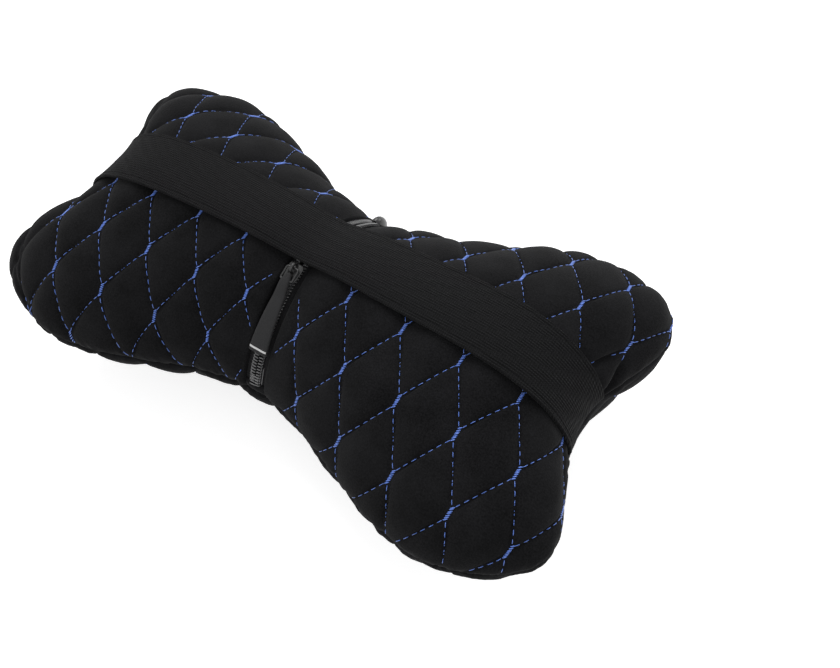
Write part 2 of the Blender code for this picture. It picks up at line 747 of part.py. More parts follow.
def main():
    """Builds the pillow with its underside at z = 0 and its box centred on the origin."""
    for item in list(bpy.data.objects):
        bpy.data.objects.remove(item)
    collection = bpy.data.collections.new("car_neck_pillow")
    cutters = bpy.data.collections.new("car_neck_pillow_cutters")
    for group in (collection, cutters):
        bpy.context.scene.collection.children.link(group)
    parent = bpy.data.objects.new("neck_pillow", None)
    collection.objects.link(parent)

    front = Panel(-1, 0, FRONT_NODE, FRONT_STRETCH)
    right = Panel(1, 1, RIGHT_NODE, RIGHT_STRETCH)
    left = Panel(1, -1, LEFT_NODE, LEFT_STRETCH)
    names = ("cover_front", "cover_back_right", "cover_back_left")
    for name, panel in zip(names, (front, right, left)):
        fabric = make_material(name + "_fabric", (0.022, 0.022, 0.024), 0.9)
        verts, faces = panel.solid()
        object_from(name, verts, faces, fabric, collection, parent)
    filling = make_material("inner_pillow_fill", (0.8, 0.79, 0.76), 0.95)
    make_filling(front, right, left, filling, collection, parent)
    for side, name in ((1, "right"), (-1, "left")):
        tape = make_material("zip_tape_" + name + "_weave", (0.02, 0.02, 0.022), 0.85)
        make_tape("zip_tape_" + name, side, tape, collection, parent)
        nylon = make_material("zip_coil_" + name + "_nylon", (0.03, 0.03, 0.033), 0.45)
        make_coil("zip_coil_" + name, side, nylon, collection, parent)
    for end, height, name in ((-1, NEAR_STOP_HEIGHT, "zip_stop_near"), (1, FAR_STOP_HEIGHT, "zip_stop_far")):
        nylon = make_material(name + "_nylon", (0.015, 0.015, 0.016), 0.4)
        make_stop(name, end, height, nylon, collection, parent)
    metal = make_material("zip_slider_metal", (0.03, 0.03, 0.032), 0.35, 0.8)
    make_slider(metal, collection, cutters, parent)
    make_link(make_material("pull_link_metal", (0.03, 0.03, 0.032), 0.35, 0.8), collection, parent)
    rubber = make_material("pull_tab_rubber", (0.035, 0.035, 0.037), 0.55)
    make_tab(rubber, collection, cutters, parent)
    make_band(make_material("elastic_band_webbing", (0.02, 0.02, 0.022), 0.85), collection, parent)

    bpy.context.view_layer.update()
    solids = [item for item in collection.objects if item.type == "MESH"]
    corners = np.array([tuple(item.matrix_world @ v.co) for item in solids for v in item.data.vertices])
    middle = 0.5 * (corners.min(axis=0) + corners.max(axis=0))
    parent.location = (-middle[0], -middle[1], -corners[:, 2].min())
    bpy.context.view_layer.update()


main()
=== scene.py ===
# %% [markdown]
# # A quilted car neck pillow
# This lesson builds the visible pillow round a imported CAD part. The part gives the frame: the seam
# outline, the height of the panels, the zip and the joint of the pull tab. The script gives the looks:
# the quilted fabric, the blue thread, the ribbed elastic band, the coil zip and the studio.
#
# Cloth this firm doesn't fall or drape. Foam behind the fabric and filling under it hold the shape, and
# the stitching decides where it dips. So the fabric is modelled in code as height over a closed form,
# with no cloth simulation.

# %% Start
import math

import bpy
import numpy as np
from mathutils import Matrix, Vector
from mathutils.geometry import delaunay_2d_cdt


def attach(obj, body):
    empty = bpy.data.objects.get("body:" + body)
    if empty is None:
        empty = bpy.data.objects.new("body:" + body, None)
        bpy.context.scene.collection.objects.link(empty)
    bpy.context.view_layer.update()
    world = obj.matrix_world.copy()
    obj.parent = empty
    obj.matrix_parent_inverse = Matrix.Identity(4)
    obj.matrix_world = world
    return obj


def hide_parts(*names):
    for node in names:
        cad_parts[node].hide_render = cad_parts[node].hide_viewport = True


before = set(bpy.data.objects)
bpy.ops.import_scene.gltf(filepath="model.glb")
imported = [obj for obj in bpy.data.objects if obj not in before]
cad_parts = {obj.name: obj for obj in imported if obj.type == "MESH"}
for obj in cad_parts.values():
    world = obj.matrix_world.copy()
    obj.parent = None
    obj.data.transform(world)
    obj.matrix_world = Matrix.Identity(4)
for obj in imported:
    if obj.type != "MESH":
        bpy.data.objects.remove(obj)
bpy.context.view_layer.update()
MM = 0.001

# %% [markdown]
# ## The sewn form
# The pillow is a bone in plan: two lobes, a narrow waist and a notch at each end. One formula gives the
# outline and the height, so every layer of the pillow is an offset from the same form. Lengths are
# millimetres, with z = 0 at the seam.

# %% Sizes of the form
NOTCH_LENGTH = 268.0
LOBE_LENGTH = 354.0
WAIST_WIDTH = 108.5
LOBE_WIDTH = 167.0
LOBE_PLACE = 124.0
LOBE_OFFSET = 75.0
END_SQUARENESS = 6.0
SIDE_SQUARENESS = 1.6
BACK_ROUNDNESS = 0.63
FRONT_ROUNDNESS = 0.7
BACK_HEIGHT = 45.0
FRONT_HEIGHT = 48.0
SEAM_CURL = 12.0
CURL_PLACE = 132.0
REST_DEPTH = 43.0
REST_BLEND = 0.6
ZIP_VALLEY = 3.0
VALLEY_REACH = 17.0
HALF_OPENING = 6.0
SEAM_LIFT = 43.2
FAR_SHIFT = 0.2
print("form: %.0f mm from notch to notch, %.0f mm across the waist" % (NOTCH_LENGTH, WAIST_WIDTH))


# %% The outline
def half_width(x):
    """Half the width of the form at x."""
    spread = np.sin(0.5 * np.pi * np.clip(np.abs(x) / LOBE_PLACE, 0, 1)) ** 2
    return 0.5 * (WAIST_WIDTH + (LOBE_WIDTH - WAIST_WIDTH) * spread)


def half_length(y):
    """Half the length of the form at y."""
    spread = np.sin(0.5 * np.pi * np.clip(np.abs(y) / LOBE_OFFSET, 0, 1)) ** 2
    return 0.5 * (NOTCH_LENGTH + (LOBE_LENGTH - NOTCH_LENGTH) * spread)


def fullness(x, y):
    """1 in the middle of the form and 0 on the seam."""
    along = np.abs(x / half_length(y)) ** END_SQUARENESS
    return 1 - along - np.abs(y / half_width(x)) ** SIDE_SQUARENESS


def farthest(is_inside, count):
    """The largest distances at which is_inside holds, found by halving."""
    near, far = np.zeros(count), np.full(count, LOBE_LENGTH)
    for _ in range(32):
        middle = 0.5 * (near + far)
        inside = is_inside(middle)
        near, far = np.where(inside, middle, near), np.where(inside, far, middle)
    return near


def outline_radius(theta):
    """Distance from the middle to the seam in each direction."""
    east, north = np.cos(theta), np.sin(theta)
    return farthest(lambda distance: fullness(distance * east, distance * north) > 0, len(theta))


NOTCH_REACH, WAIST_REACH = outline_radius(np.array([0.0, 0.5 * np.pi]))
print("seam: %.1f mm out at the notch, %.1f mm at the waist" % (NOTCH_REACH, WAIST_REACH))

# %% [markdown]
# A panel is sewn from flat cloth, and the quilting was straight on that cloth. So places are kept in two
# ways: plan, as seen from above, and cloth, laid flat from the middle outward. A table of arc lengths
# along rays changes one into the other.

# %% Between plan and flat cloth
TABLE_TURNS = 1440
TABLE_STEPS = np.sin(np.linspace(0, 0.5 * np.pi, 90))


def reach_table():
    """Plan radius and cloth length along rays in every direction."""
    theta = np.linspace(-np.pi, np.pi, TABLE_TURNS + 1)
    radius = outline_radius(theta)[:, None] * TABLE_STEPS
    x, y = radius * np.cos(theta)[:, None], radius * np.sin(theta)[:, None]
    height = BACK_HEIGHT * np.clip(fullness(x, y), 0, 1) ** BACK_ROUNDNESS
    pieces = np.hypot(np.diff(radius, axis=1), np.diff(height, axis=1))
    lengths = np.concatenate([np.zeros((len(theta), 1)), np.cumsum(pieces, axis=1)], axis=1)
    return radius, lengths


TABLE_RADIUS, TABLE_LENGTH = reach_table()


def rows_at(points):
    """The table's rows for the directions of some points, blended between neighbours."""
    turn = (np.arctan2(points[:, 1], points[:, 0]) + np.pi) / (2 * np.pi) * TABLE_TURNS
    row = np.clip(turn.astype(int), 0, TABLE_TURNS - 1)
    share = (turn - row)[:, None]
    radius = TABLE_RADIUS[row] * (1 - share) + TABLE_RADIUS[row + 1] * share
    return radius, TABLE_LENGTH[row] * (1 - share) + TABLE_LENGTH[row + 1] * share


def rescale(points, before, after):
    """Moves points along their rays from one measure of distance to another."""
    distance = np.maximum(np.hypot(points[:, 0], points[:, 1]), 1e-9)
    reach = np.array([np.interp(d, b, a) for d, b, a in zip(distance, before, after)])
    return points * (reach / distance)[:, None]


def to_plan(cloth):
    """Plan position of flat cloth points, and their cloth distance from the seam."""
    radius, lengths = rows_at(cloth)
    return rescale(cloth, lengths, radius), lengths[:, -1] - np.hypot(cloth[:, 0], cloth[:, 1])


def to_cloth(plan):
    """Flat cloth position of plan points."""
    radius, lengths = rows_at(plan)
    return rescale(plan, radius, lengths)


print("table: %d rays, longest cloth %.0f mm" % (TABLE_TURNS, TABLE_LENGTH.max()))

# %% [markdown]
# The seam curls up toward the ends, the zip pulls a shallow valley into the back, and the front lies flat
# where it carries the pillow. Every layer is laid at its own offset along the form's normals.


# %% Points on the form
def curl(x):
    """How far the seam rises over the middle of the pillow, out toward its ends."""
    return SEAM_CURL * (x / CURL_PLACE) ** 2


def form_points(plan, side):
    """Points of the form over plan points, and their outward normals."""
    x, y = plan[:, 0], plan[:, 1]
    roundness = BACK_ROUNDNESS if side > 0 else FRONT_ROUNDNESS
    height = BACK_HEIGHT if side > 0 else FRONT_HEIGHT + curl(x)
    full = np.clip(fullness(x, y), 0, 1)
    z = side * height * full ** roundness
    step = 0.05
    slope_x = (fullness(x + step, y) - fullness(x - step, y)) / (2 * step)
    slope_y = (fullness(x, y + step) - fullness(x, y - step)) / (2 * step)
    slope_z = -side * full ** (1 - roundness) / (roundness * height)
    normals = -np.stack([slope_x, slope_y, slope_z], axis=1)
    normals /= np.linalg.norm(normals, axis=1, keepdims=True)
    return np.stack([x, y, z + curl(x)], axis=1), normals


def valley(plan):
    """How deep the zip pulls the back panel in."""
    full = np.clip(fullness(plan[:, 0], plan[:, 1]), 0, 1)
    return ZIP_VALLEY * np.sqrt(full) * np.exp(-(plan[:, 0] / VALLEY_REACH) ** 2)


def lay(plan, side, offset):
    """Points at an offset from the form, flattened where the front rests on a surface."""
    plan = np.atleast_2d(plan)
    points, normals = form_points(plan, side)
    if side > 0:
        offset = offset - valley(plan)
    points = points + normals * np.reshape(offset, (-1, 1))
    if side < 0:
        over = points[:, 2] + REST_DEPTH
        rounded = REST_BLEND * np.exp(np.minimum(over / REST_BLEND - 1, 0))
        points[:, 2] = np.where(over < REST_BLEND, rounded, over) - REST_DEPTH
    return points


print("top of the back: %.1f mm over the seam" % lay([(0.0, 0.0)], 1, 0.0)[0, 2])

# %% [markdown]
# A used pillow is never even. Each half is pushed a few millimetres along x and y, by a smooth amount
# that is zero at the zip. The five numbers are a plain push and how it changes along and across.

# %% How the filling has been pushed about
PUSH_START = 12.0
PUSH_GROWTH = 60.0
PUSH_MIDDLE = 80.0
PUSH_OUT = 70.0
PUSH_ACROSS = 80.0
PUSH = {1: ((1.97, 0.87, -0.41, -0.71, -2.87), (-0.53, 1.73, 1.3, 0.23, -0.01)),
        -1: ((2.26, -0.13, -0.89, -1.18, 0.33), (0.31, 0.13, 2.22, 1.41, -0.49))}


def pushed(points):
    """Points of the even form where they lie on the used pillow."""
    points = np.array(points, dtype=float)
    x, y = points[:, 0].copy(), points[:, 1].copy()
    hold = np.clip((np.abs(x) - PUSH_START) / PUSH_GROWTH, 0, 1)
    hold = hold * hold * (3 - 2 * hold)
    out, across = (np.abs(x) - PUSH_MIDDLE) / PUSH_OUT, y / PUSH_ACROSS
    terms = np.stack([np.ones_like(x), out, across, out * across, across ** 2], axis=1) * hold[:, None]
    for half, (along_x, along_y) in PUSH.items():
        here = x * half > 0
        points[here, 0] += terms[here] @ np.array(along_x)
        points[here, 1] += terms[here] @ np.array(along_y)
    return points


lobes = np.array([(-135.0, -65.0, 0.0), (135.0, 65.0, 0.0)])
print("push at two lobes: up to %.1f mm" % np.abs(pushed(lobes) - lobes).max())

# %% [markdown]
# Every layer follows one formula, so its mesh is made straight from rows of points rather than sculpted.
# The helpers join rows into faces, and give a piece its place, material and body.


# %% Objects from points
def settle(points):
    """Points in millimetres over the seam as metres in the frame."""
    return (pushed(points) + np.array([0, FAR_SHIFT, SEAM_LIFT])) * MM


def mesh_object(name, points, faces, smooth=True):
    """A mesh object from points in millimetres over the seam."""
    mesh = bpy.data.meshes.new(name)
    mesh.from_pydata(settle(points).tolist(), [], faces)
    if smooth:
        mesh.shade_smooth()
    piece = bpy.data.objects.new(name, mesh)
    bpy.context.scene.collection.objects.link(piece)
    return piece


def show(piece, body, material, nodes=()):
    """Gives a piece its material, its body and the CAD nodes that it stands for."""
    piece.data.materials.append(material)
    if nodes:
        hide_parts(*nodes)
    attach(piece, body)
    triangles = sum(len(face.vertices) - 2 for face in piece.data.polygons)
    print("%-22s %7d triangles" % (piece.name, triangles))


def grid_faces(rows, columns, first=0, wrap=False):
    """Quads over a grid of points that runs row by row."""
    faces = []
    for r in range(rows - 1):
        for c in range(columns if wrap else columns - 1):
            d = (c + 1) % columns
            a = first + r * columns
            faces.append((a + c, a + d, a + columns + d, a + columns + c))
    return faces


def capped_faces(rows, sides):
    """Quads round rows of points, with a flat cap at each end."""
    last = (rows - 1) * sides
    return grid_faces(rows, sides, wrap=True) + [tuple(range(sides))[::-1], tuple(range(last, last + sides))]


def facing(faces, turned):
    """Faces as they are, or all turned round."""
    return [tuple(reversed(face)) if turned else tuple(face) for face in faces]


def strip(edge, base, turned=False):
    """Quads from a line of points to the line that comes base points later."""
    return facing([(a, b, base + b, base + a) for a, b in zip(edge, edge[1:])], turned)


def squared(wave, power):
    """A sine or cosine pushed out toward a square, for sections with rounded corners."""
    return np.sign(wave) * np.abs(wave) ** power


def value_noise(points, scale, seed):
    """Smooth noise from -1 to 1 over flat points, from random values on a grid."""
    rng = np.random.default_rng(seed)
    size = 128
    values = rng.uniform(-1, 1, (size, size))
    place = points / scale + 64
    cell = np.floor(place).astype(int)
    share = place - cell
    share = share * share * (3 - 2 * share)
    x, y = cell[:, 0] % size, cell[:, 1] % size
    x2, y2 = (x + 1) % size, (y + 1) % size
    low = values[x, y] * (1 - share[:, 0]) + values[x2, y] * share[:, 0]
    high = values[x, y2] * (1 - share[:, 0]) + values[x2, y2] * share[:, 0]
    return low * (1 - share[:, 1]) + high * share[:, 1]


print("largest noise on a row of points: %.2f" % value_noise(np.outer(np.arange(50.0), (1, 0)), 7.0, 1).max())

# %% [markdown]
# ## Shared shader groups
# A group is built once and used by several materials. Each output varies over the surface: a colour, a
# roughness or a height. A value that is the same all over stays on the shader's own socket.

# %% Shader helpers
def new_group(name, inputs, outputs):
    """An empty node group with named float inputs and outputs of named types."""
    group = bpy.data.node_groups.new(name, "ShaderNodeTree")
    for label, value in inputs.items():
        kind = "NodeSocketColor" if isinstance(value, tuple) else "NodeSocketFloat"
        socket = group.interface.new_socket(label, in_out="INPUT", socket_type=kind)
        socket.default_value = value
    for label, kind in outputs.items():
        group.interface.new_socket(label, in_out="OUTPUT", socket_type=kind)
    source = group.nodes.new("NodeGroupInput")
    target = group.nodes.new("NodeGroupOutput")
    return group, source, target


def add(tree, kind, links=None, **settings):
    """A node with its settings, and its inputs linked or set."""
    node = tree.nodes.new(kind)
    for label, value in settings.items():
        setattr(node, label, value)
    for socket, value in (links or {}).items():
        if isinstance(value, bpy.types.NodeSocket):
            tree.links.new(value, node.inputs[socket])
        else:
            node.inputs[socket].default_value = value
    return node


def math_node(tree, operation, first, second=0.0):
    """One sum, product or other operation on two values."""
    return add(tree, "ShaderNodeMath", {0: first, 1: second}, operation=operation).outputs[0]


print("shader helpers:", ", ".join(helper.__name__ for helper in (new_group, add, math_node)))

# %% [markdown]
# Suede is a mat of short fibres that lie in soft patches. Broad noise gives the patches, fine noise gives
# the fibres, and both change the colour a little.

# %% The nap of the suede
GRAIN_SHARE = 1.3
NAP_ROUGHNESS = 0.86
NAP_CHANGE = 0.16
nap, source, target = new_group(
    "suede_nap",
    {"Color": (0.02, 0.02, 0.02, 1), "Patch Size": 60.0, "Fibre Size": 1500.0, "Contrast": 1.7},
    {"Color": "NodeSocketColor", "Roughness": "NodeSocketFloat", "Height": "NodeSocketFloat"})
place = add(nap, "ShaderNodeTexCoord").outputs["Object"]
patches = add(nap, "ShaderNodeTexNoise",
              {"Vector": place, "Scale": source.outputs["Patch Size"], "Detail": 4.0})
fibres = add(nap, "ShaderNodeTexNoise",
             {"Vector": place, "Scale": source.outputs["Fibre Size"], "Detail": 3.0})
shift = math_node(nap, "SUBTRACT", patches.outputs["Fac"], 0.5)
grain = math_node(nap, "SUBTRACT", fibres.outputs["Fac"], 0.5)
both = math_node(nap, "ADD", shift, math_node(nap, "MULTIPLY", grain, GRAIN_SHARE))
gain = math_node(nap, "ADD", 1.0, math_node(nap, "MULTIPLY", both, source.outputs["Contrast"]))
tinted = add(nap, "ShaderNodeVectorMath", {0: source.outputs["Color"], "Scale": gain}, operation="SCALE")
nap.links.new(tinted.outputs[0], target.inputs["Color"])
change = math_node(nap, "MULTIPLY", shift, NAP_CHANGE)
nap.links.new(math_node(nap, "ADD", NAP_ROUGHNESS, change), target.inputs["Roughness"])
nap.links.new(fibres.outputs["Fac"], target.inputs["Height"])
print("group:", nap.name)

# %% [markdown]
# Webbing, tape and thread are woven or twisted. Two sets of wavy bands cross to give the weave, and a
# little noise keeps it from looking printed.

# %% Twisted thread and woven cross lines
WEAVE_LEVEL = 0.85
weave, source, target = new_group(
    "fine_weave",
    {"Color": (0.02, 0.02, 0.02, 1), "Lines": 1800.0, "Depth": 0.4},
    {"Color": "NodeSocketColor", "Height": "NodeSocketFloat"})
place = add(weave, "ShaderNodeTexCoord").outputs["Object"]
bands = {}
for axis in ("X", "Y"):
    bands[axis] = add(weave, "ShaderNodeTexWave",
                      {"Vector": place, "Scale": source.outputs["Lines"], "Distortion": 0.6, "Detail": 1.0},
                      bands_direction=axis)
crossed = math_node(weave, "MULTIPLY", bands["X"].outputs["Fac"], bands["Y"].outputs["Fac"])
mottle = add(weave, "ShaderNodeTexNoise", {"Vector": place, "Scale": 900.0, "Detail": 2.0})
level = math_node(weave, "ADD", crossed, math_node(weave, "SUBTRACT", mottle.outputs["Fac"], 0.5))
gain = math_node(weave, "ADD", WEAVE_LEVEL, math_node(weave, "MULTIPLY", level, source.outputs["Depth"]))
tinted = add(weave, "ShaderNodeVectorMath", {0: source.outputs["Color"], "Scale": gain}, operation="SCALE")
weave.links.new(tinted.outputs[0], target.inputs["Color"])
weave.links.new(level, target.inputs["Height"])
print("group:", weave.name)


# %% [markdown]
# Everything but the thread is near black, and the pieces differ mostly in gloss: dull suede, webbing and
# tape, and shinier nylon and paint. So roughness and specular level set them apart.


# %% Materials
def principled(name, color, roughness, **values):
    """A Principled material with plain values on its own sockets, and its shader."""
    material = bpy.data.materials.new(name)
    material.use_nodes = True
    shader = material.node_tree.nodes["Principled BSDF"]
    shader.inputs["Base Color"].default_value = (*color, 1)
    shader.inputs["Roughness"].default_value = roughness
    for label, value in values.items():
        shader.inputs[label.replace("_", " ")].default_value = value
    return material, shader


def with_group(plain, group, strength, distance, **inputs):
    """Adds a shared group to a plain material, with its colour and a bump from the group's height."""
    material, shader = plain
    tree = material.node_tree
    node = add(tree, "ShaderNodeGroup", node_tree=group)
    node.inputs["Color"].default_value = shader.inputs["Base Color"].default_value
    for label, value in inputs.items():
        node.inputs[label.replace("_", " ")].default_value = value
    tree.links.new(node.outputs["Color"], shader.inputs["Base Color"])
    if "Roughness" in node.outputs:
        tree.links.new(node.outputs["Roughness"], shader.inputs["Roughness"])
    bump = add(tree, "ShaderNodeBump", {"Strength": strength, "Distance": distance,
                                        "Height": node.outputs["Height"]})
    tree.links.new(bump.outputs["Normal"], shader.inputs["Normal"])
    return material


# %% Cloth and thread
suede = with_group(principled("black_suede", (0.0079, 0.0079, 0.0086), 0.9, Sheen_Weight=0.03,
                              Sheen_Roughness=0.5, Specular_IOR_Level=0.045), nap, 0.7, 0.0003)
webbing = with_group(principled("black_webbing", (0.0077, 0.0077, 0.0082), 0.75, Sheen_Weight=0.02,
                                Specular_IOR_Level=0.05), weave, 0.8, 0.0003, Lines=300.0, Depth=1.0)
tape_cloth = with_group(principled("black_zip_tape", (0.011, 0.011, 0.012), 0.8, Sheen_Weight=0.03,
                                   Specular_IOR_Level=0.12), weave, 0.5, 0.0002, Lines=420.0, Depth=0.6)
blue_thread = with_group(principled("blue_thread", (0.085, 0.2, 0.7), 0.3, Sheen_Weight=0.1,
                                    Specular_IOR_Level=0.8), weave, 0.3, 0.0001, Lines=900.0, Depth=0.5)

# %% Nylon, paint, tab and filling
nylon, _ = principled("black_nylon", (0.075, 0.075, 0.078), 0.28, Specular_IOR_Level=0.9)
glossy_nylon, _ = principled("glossy_nylon", (0.008, 0.008, 0.009), 0.22)
dark_metal, _ = principled("black_paint", (0.009, 0.009, 0.0095), 0.35)
tab_rubber = with_group(principled("tab_rubber", (0.014, 0.014, 0.015), 0.5, Specular_IOR_Level=0.35),
                        nap, 0.5, 0.0003, Fibre_Size=1700.0, Contrast=0.5)
pale_line, _ = principled("pale_line", (0.6, 0.6, 0.6), 0.5)
fibre = with_group(principled("white_fibre", (0.75, 0.74, 0.72), 0.95),
                   nap, 0.6, 0.001, Fibre_Size=300.0, Contrast=0.2)
print("materials:", ", ".join(material.name for material in bpy.data.materials))

# %% [markdown]
# ## The quilting
# The fabric comes quilted: a face of suede on foam, joined by lines of blue lockstitch. The lines run
# in zigzags that meet at bars of close stitching, so each cell is a long diamond with blunt tips. A
# height over the form shows this best: zero on a line, then a steep rise and a flat top.
#
# Each cut panel has its own lattice of diamonds, as the halves were cut from different places.

# %% Sizes of the quilting
DIAMOND_LENGTH = 27.4
DIAMOND_WIDTH = 47.5
BAND_WIDTH = 30.0
BAND_BOW = 10.0
BAND_LIFT = 3.6
BAR_HALF = 2.3
PUFF_HEIGHT = 2.9
SEAM_TAPER = 16.0
FAR_CLOTH = 15.0
CELL_STEPS = 34
print("diamonds: %.1f by %.1f mm, %d steps across each" % (DIAMOND_LENGTH, DIAMOND_WIDTH, CELL_STEPS))


# %% The lattice of diamonds
class Lattice:
    """Where the quilting's diamonds lie on a panel: one of their nodes, and how the cloth is stretched.

    Past the band, toward the far seam, the cloth is stretched once more by its own factor.
    """

    def __init__(self, node, stretch=((1, 0), (0, 1)), far_stretch=1.0):
        self.node = np.array(node)
        self.stretch = np.array(stretch, dtype=float)
        self.back = np.linalg.inv(self.stretch)
        self.extra = far_stretch - 1

    def to_cloth(self, even):
        """Cloth points of points on the even lattice."""
        cloth = self.node + np.asarray(even) @ self.stretch.T
        cloth[:, 1] += self.extra * np.maximum(cloth[:, 1] - FAR_CLOTH, 0)
        return cloth

    def even(self, cloth):
        """Points on the even lattice of cloth points."""
        past = np.maximum(cloth[:, 1] - FAR_CLOTH, 0)
        across = cloth[:, 1] - past * self.extra / (1 + self.extra)
        return (np.stack([cloth[:, 0], across], axis=1) - self.node) @ self.back.T

    def cells(self, even):
        """Position along the two families of quilting lines, in cells."""
        along, across = even[:, 0] / DIAMOND_LENGTH, even[:, 1] / DIAMOND_WIDTH
        return along + across, along - across

    def bar_distance(self, even):
        """Distance to the nearest bar of close stitching."""
        first, second = self.cells(even)
        u = even[:, 0] - 0.5 * (np.round(first) + np.round(second)) * DIAMOND_LENGTH
        v = even[:, 1] - 0.5 * (np.round(first) - np.round(second)) * DIAMOND_WIDTH
        return np.hypot(u, np.maximum(np.abs(v) - BAR_HALF, 0))


right_lattice = Lattice((87.4, -12.4), ((1.032, 0), (-0.056, 1.061)))
left_lattice = Lattice((-71.9, -31.8), ((1.006, 0.009), (0.055, 1.022)), 1.12)
print("the far cloth of the left half is stretched %.0f %% more" % (100 * left_lattice.extra))

# %% [markdown]
# The elastic band presses the cloth flat where it crosses, and dives into the seam at both ends. There
# the cloth is gathered into deep folds, and at the left end the seam has rolled over onto the back.

# %% Where the cloth is pressed, rolled or gathered
BAND_RISE = 40.0
ROLL_START = 100.0
ROLL_GROWTH = 20.0
ROLL_NEAR_Y = -74.0
ROLL_NEAR_WIDTH = 9.0
ROLL_WIDENING = 0.5
ROLL_WIDEST = 26.0
ROLL_FAR_Y = 75.0
ROLL_FADE = 40.0
ROLL_LEAST = 0.25
GATHER_X = 137.0
GATHER_Y = 20.0
GATHER_REACH = 7.0


def band_height(seam_distance):
    """Height of the band's underside over the form: close to the cloth near its sewn ends."""
    return BAND_LIFT * np.clip((seam_distance - 3) / BAND_RISE, 0, 1) ** 0.7


def band_cover(plan):
    """Two shares that are 1 under the band and 0 beside it: one past its edges, one well inside them."""
    share = plan[:, 0] / (0.5 * NOTCH_LENGTH)
    inside = 0.5 * BAND_WIDTH - np.abs(plan[:, 1] - BAND_BOW * (1 - share ** 2))
    return np.clip((inside + 2.5) / 1.5, 0, 1), np.clip((inside - 3) / 3, 0, 1)


def rolled_seam(plan):
    """How far the seam has rolled over onto the back at the left end."""
    left = np.clip((-plan[:, 0] - ROLL_START) / ROLL_GROWTH, 0, 1)
    width = np.clip(ROLL_NEAR_WIDTH + ROLL_WIDENING * (plan[:, 1] - ROLL_NEAR_Y), 0, ROLL_WIDEST)
    return left * width * np.clip((ROLL_FAR_Y - plan[:, 1]) / ROLL_FADE, ROLL_LEAST, 1)


def gathers(plan):
    """How strongly the cloth is gathered into the seam beside the band's ends, on their far side."""
    away = np.hypot(np.abs(plan[:, 0]) - GATHER_X, plan[:, 1] - GATHER_Y)
    return np.clip(1.5 - away / GATHER_REACH, 0, 1)


left_end = np.stack([np.full(50, -120.0), np.linspace(-70, 70, 50)], axis=1)
print("the seam has rolled over by up to %.0f mm" % rolled_seam(left_end).max())

# %% [markdown]
# The face of a cell rises steeply from the thread and is nearly flat on top. Each cell is a little taller
# or lower than the next, the thread pulls fine puckers beside it, and the seam pulls its own.

# %% Height of the quilted face
PUFF_POWER = 0.42
LINE_FLOOR = 0.0004
LINE_DEPTH = 0.0374
BAR_PRESS = 3.2
CELL_SPREAD = 0.13
SLOW_LUMPS = 0.35
THREAD_PULLS = 0.16
SOFT_LUMPS = 0.12
SEAM_ROLL = 2.2
SEAM_DROP = 1.3
SEAM_PUCKER = 0.45
SEAM_CREASES = 0.4


def relief(cloth, lattice, seam_distance, zip_distance):
    """Height of the quilted face over the form."""
    even = lattice.even(cloth)
    first, second = lattice.cells(even)
    product = np.abs(np.sin(np.pi * first) * np.sin(np.pi * second))
    rise = (product + LINE_FLOOR) ** PUFF_POWER - LINE_DEPTH
    rise *= np.clip(lattice.bar_distance(even) / BAR_PRESS, 0, 1) ** 0.5
    cells = np.stack([np.floor(first), np.floor(second)], axis=1)
    tall = 1 + CELL_SPREAD * np.sin(cells[:, 0] * 12.9 + cells[:, 1] * 78.2)
    slow = value_noise(cloth, 21.0, 4) * SLOW_LUMPS
    pulls = value_noise(cloth, 3.1, 9) * THREAD_PULLS * np.exp(-rise / 0.3)
    pulls = pulls + value_noise(cloth, 6.3, 2) * SOFT_LUMPS
    fade = np.clip(np.minimum(seam_distance, zip_distance) / SEAM_TAPER, 0, 1) ** 0.5
    height = PUFF_HEIGHT * fade * rise * tall + (slow + pulls) * fade
    pucker = np.sin(2 * np.pi * (cloth[:, 0] * 0.11 + value_noise(cloth, 17.0, 5)))
    roll = np.exp(-(seam_distance / SEAM_ROLL) ** 2)
    creases = SEAM_CREASES * value_noise(cloth, 2.7, 14) * np.exp(-(seam_distance / 8.0) ** 2)
    return height + creases * (1 - roll) - roll * (SEAM_DROP + SEAM_PUCKER * pucker)


middle_cell = np.array([(0.5 * DIAMOND_LENGTH, 0.0)])
print("a cell is %.1f mm tall" % relief(middle_cell, Lattice((0.0, 0.0)), 99.0, 99.0)[0])

# %% [markdown]
# A panel's mesh is made flat, where the cloth is flat: the seam's points bound it, the lattice's points
# fill it, and a triangulation joins them. So the mesh's own edges run along the quilting lines, and the
# creases stay sharp. Then every point is lifted onto the form.


# %% Seam and lattice points
FACE_STEP = 1.8 * 14 / CELL_STEPS
CLOTH_LENGTH = 280.0
CLOTH_WIDTH = 180.0


def seam_arc(step):
    """Plan points of the seam round the right half, from the zip's near end to its far end."""
    theta = np.linspace(-0.5 * np.pi, 0.5 * np.pi, 2401)
    radius = outline_radius(theta)
    x, y = radius * np.cos(theta), radius * np.sin(theta)
    inside = x >= HALF_OPENING
    x, y = x[inside], y[inside]
    run = np.concatenate([[0], np.cumsum(np.hypot(np.diff(x), np.diff(y)))])
    where = np.linspace(0, run[-1], int(run[-1] / step) + 1)
    theta = np.arctan2(np.interp(where, run, y), np.interp(where, run, x))
    radius = outline_radius(theta)
    arc = np.stack([radius * np.cos(theta), radius * np.sin(theta)], axis=1)
    waist = half_width(HALF_OPENING)
    arc[0] = (HALF_OPENING, -waist)
    arc[-1] = (HALF_OPENING, waist)
    return arc


def lattice_points(lattice):
    """Cloth points on the quilting lines and evenly between them."""
    step_u, step_v = DIAMOND_LENGTH / CELL_STEPS, DIAMOND_WIDTH / CELL_STEPS
    u = step_u * np.arange(-int(CLOTH_LENGTH / step_u), int(CLOTH_LENGTH / step_u))
    v = step_v * np.arange(-int(CLOTH_WIDTH / step_v), int(CLOTH_WIDTH / step_v))
    return lattice.to_cloth(np.stack(np.meshgrid(u, v, indexing="ij"), axis=-1).reshape(-1, 2))


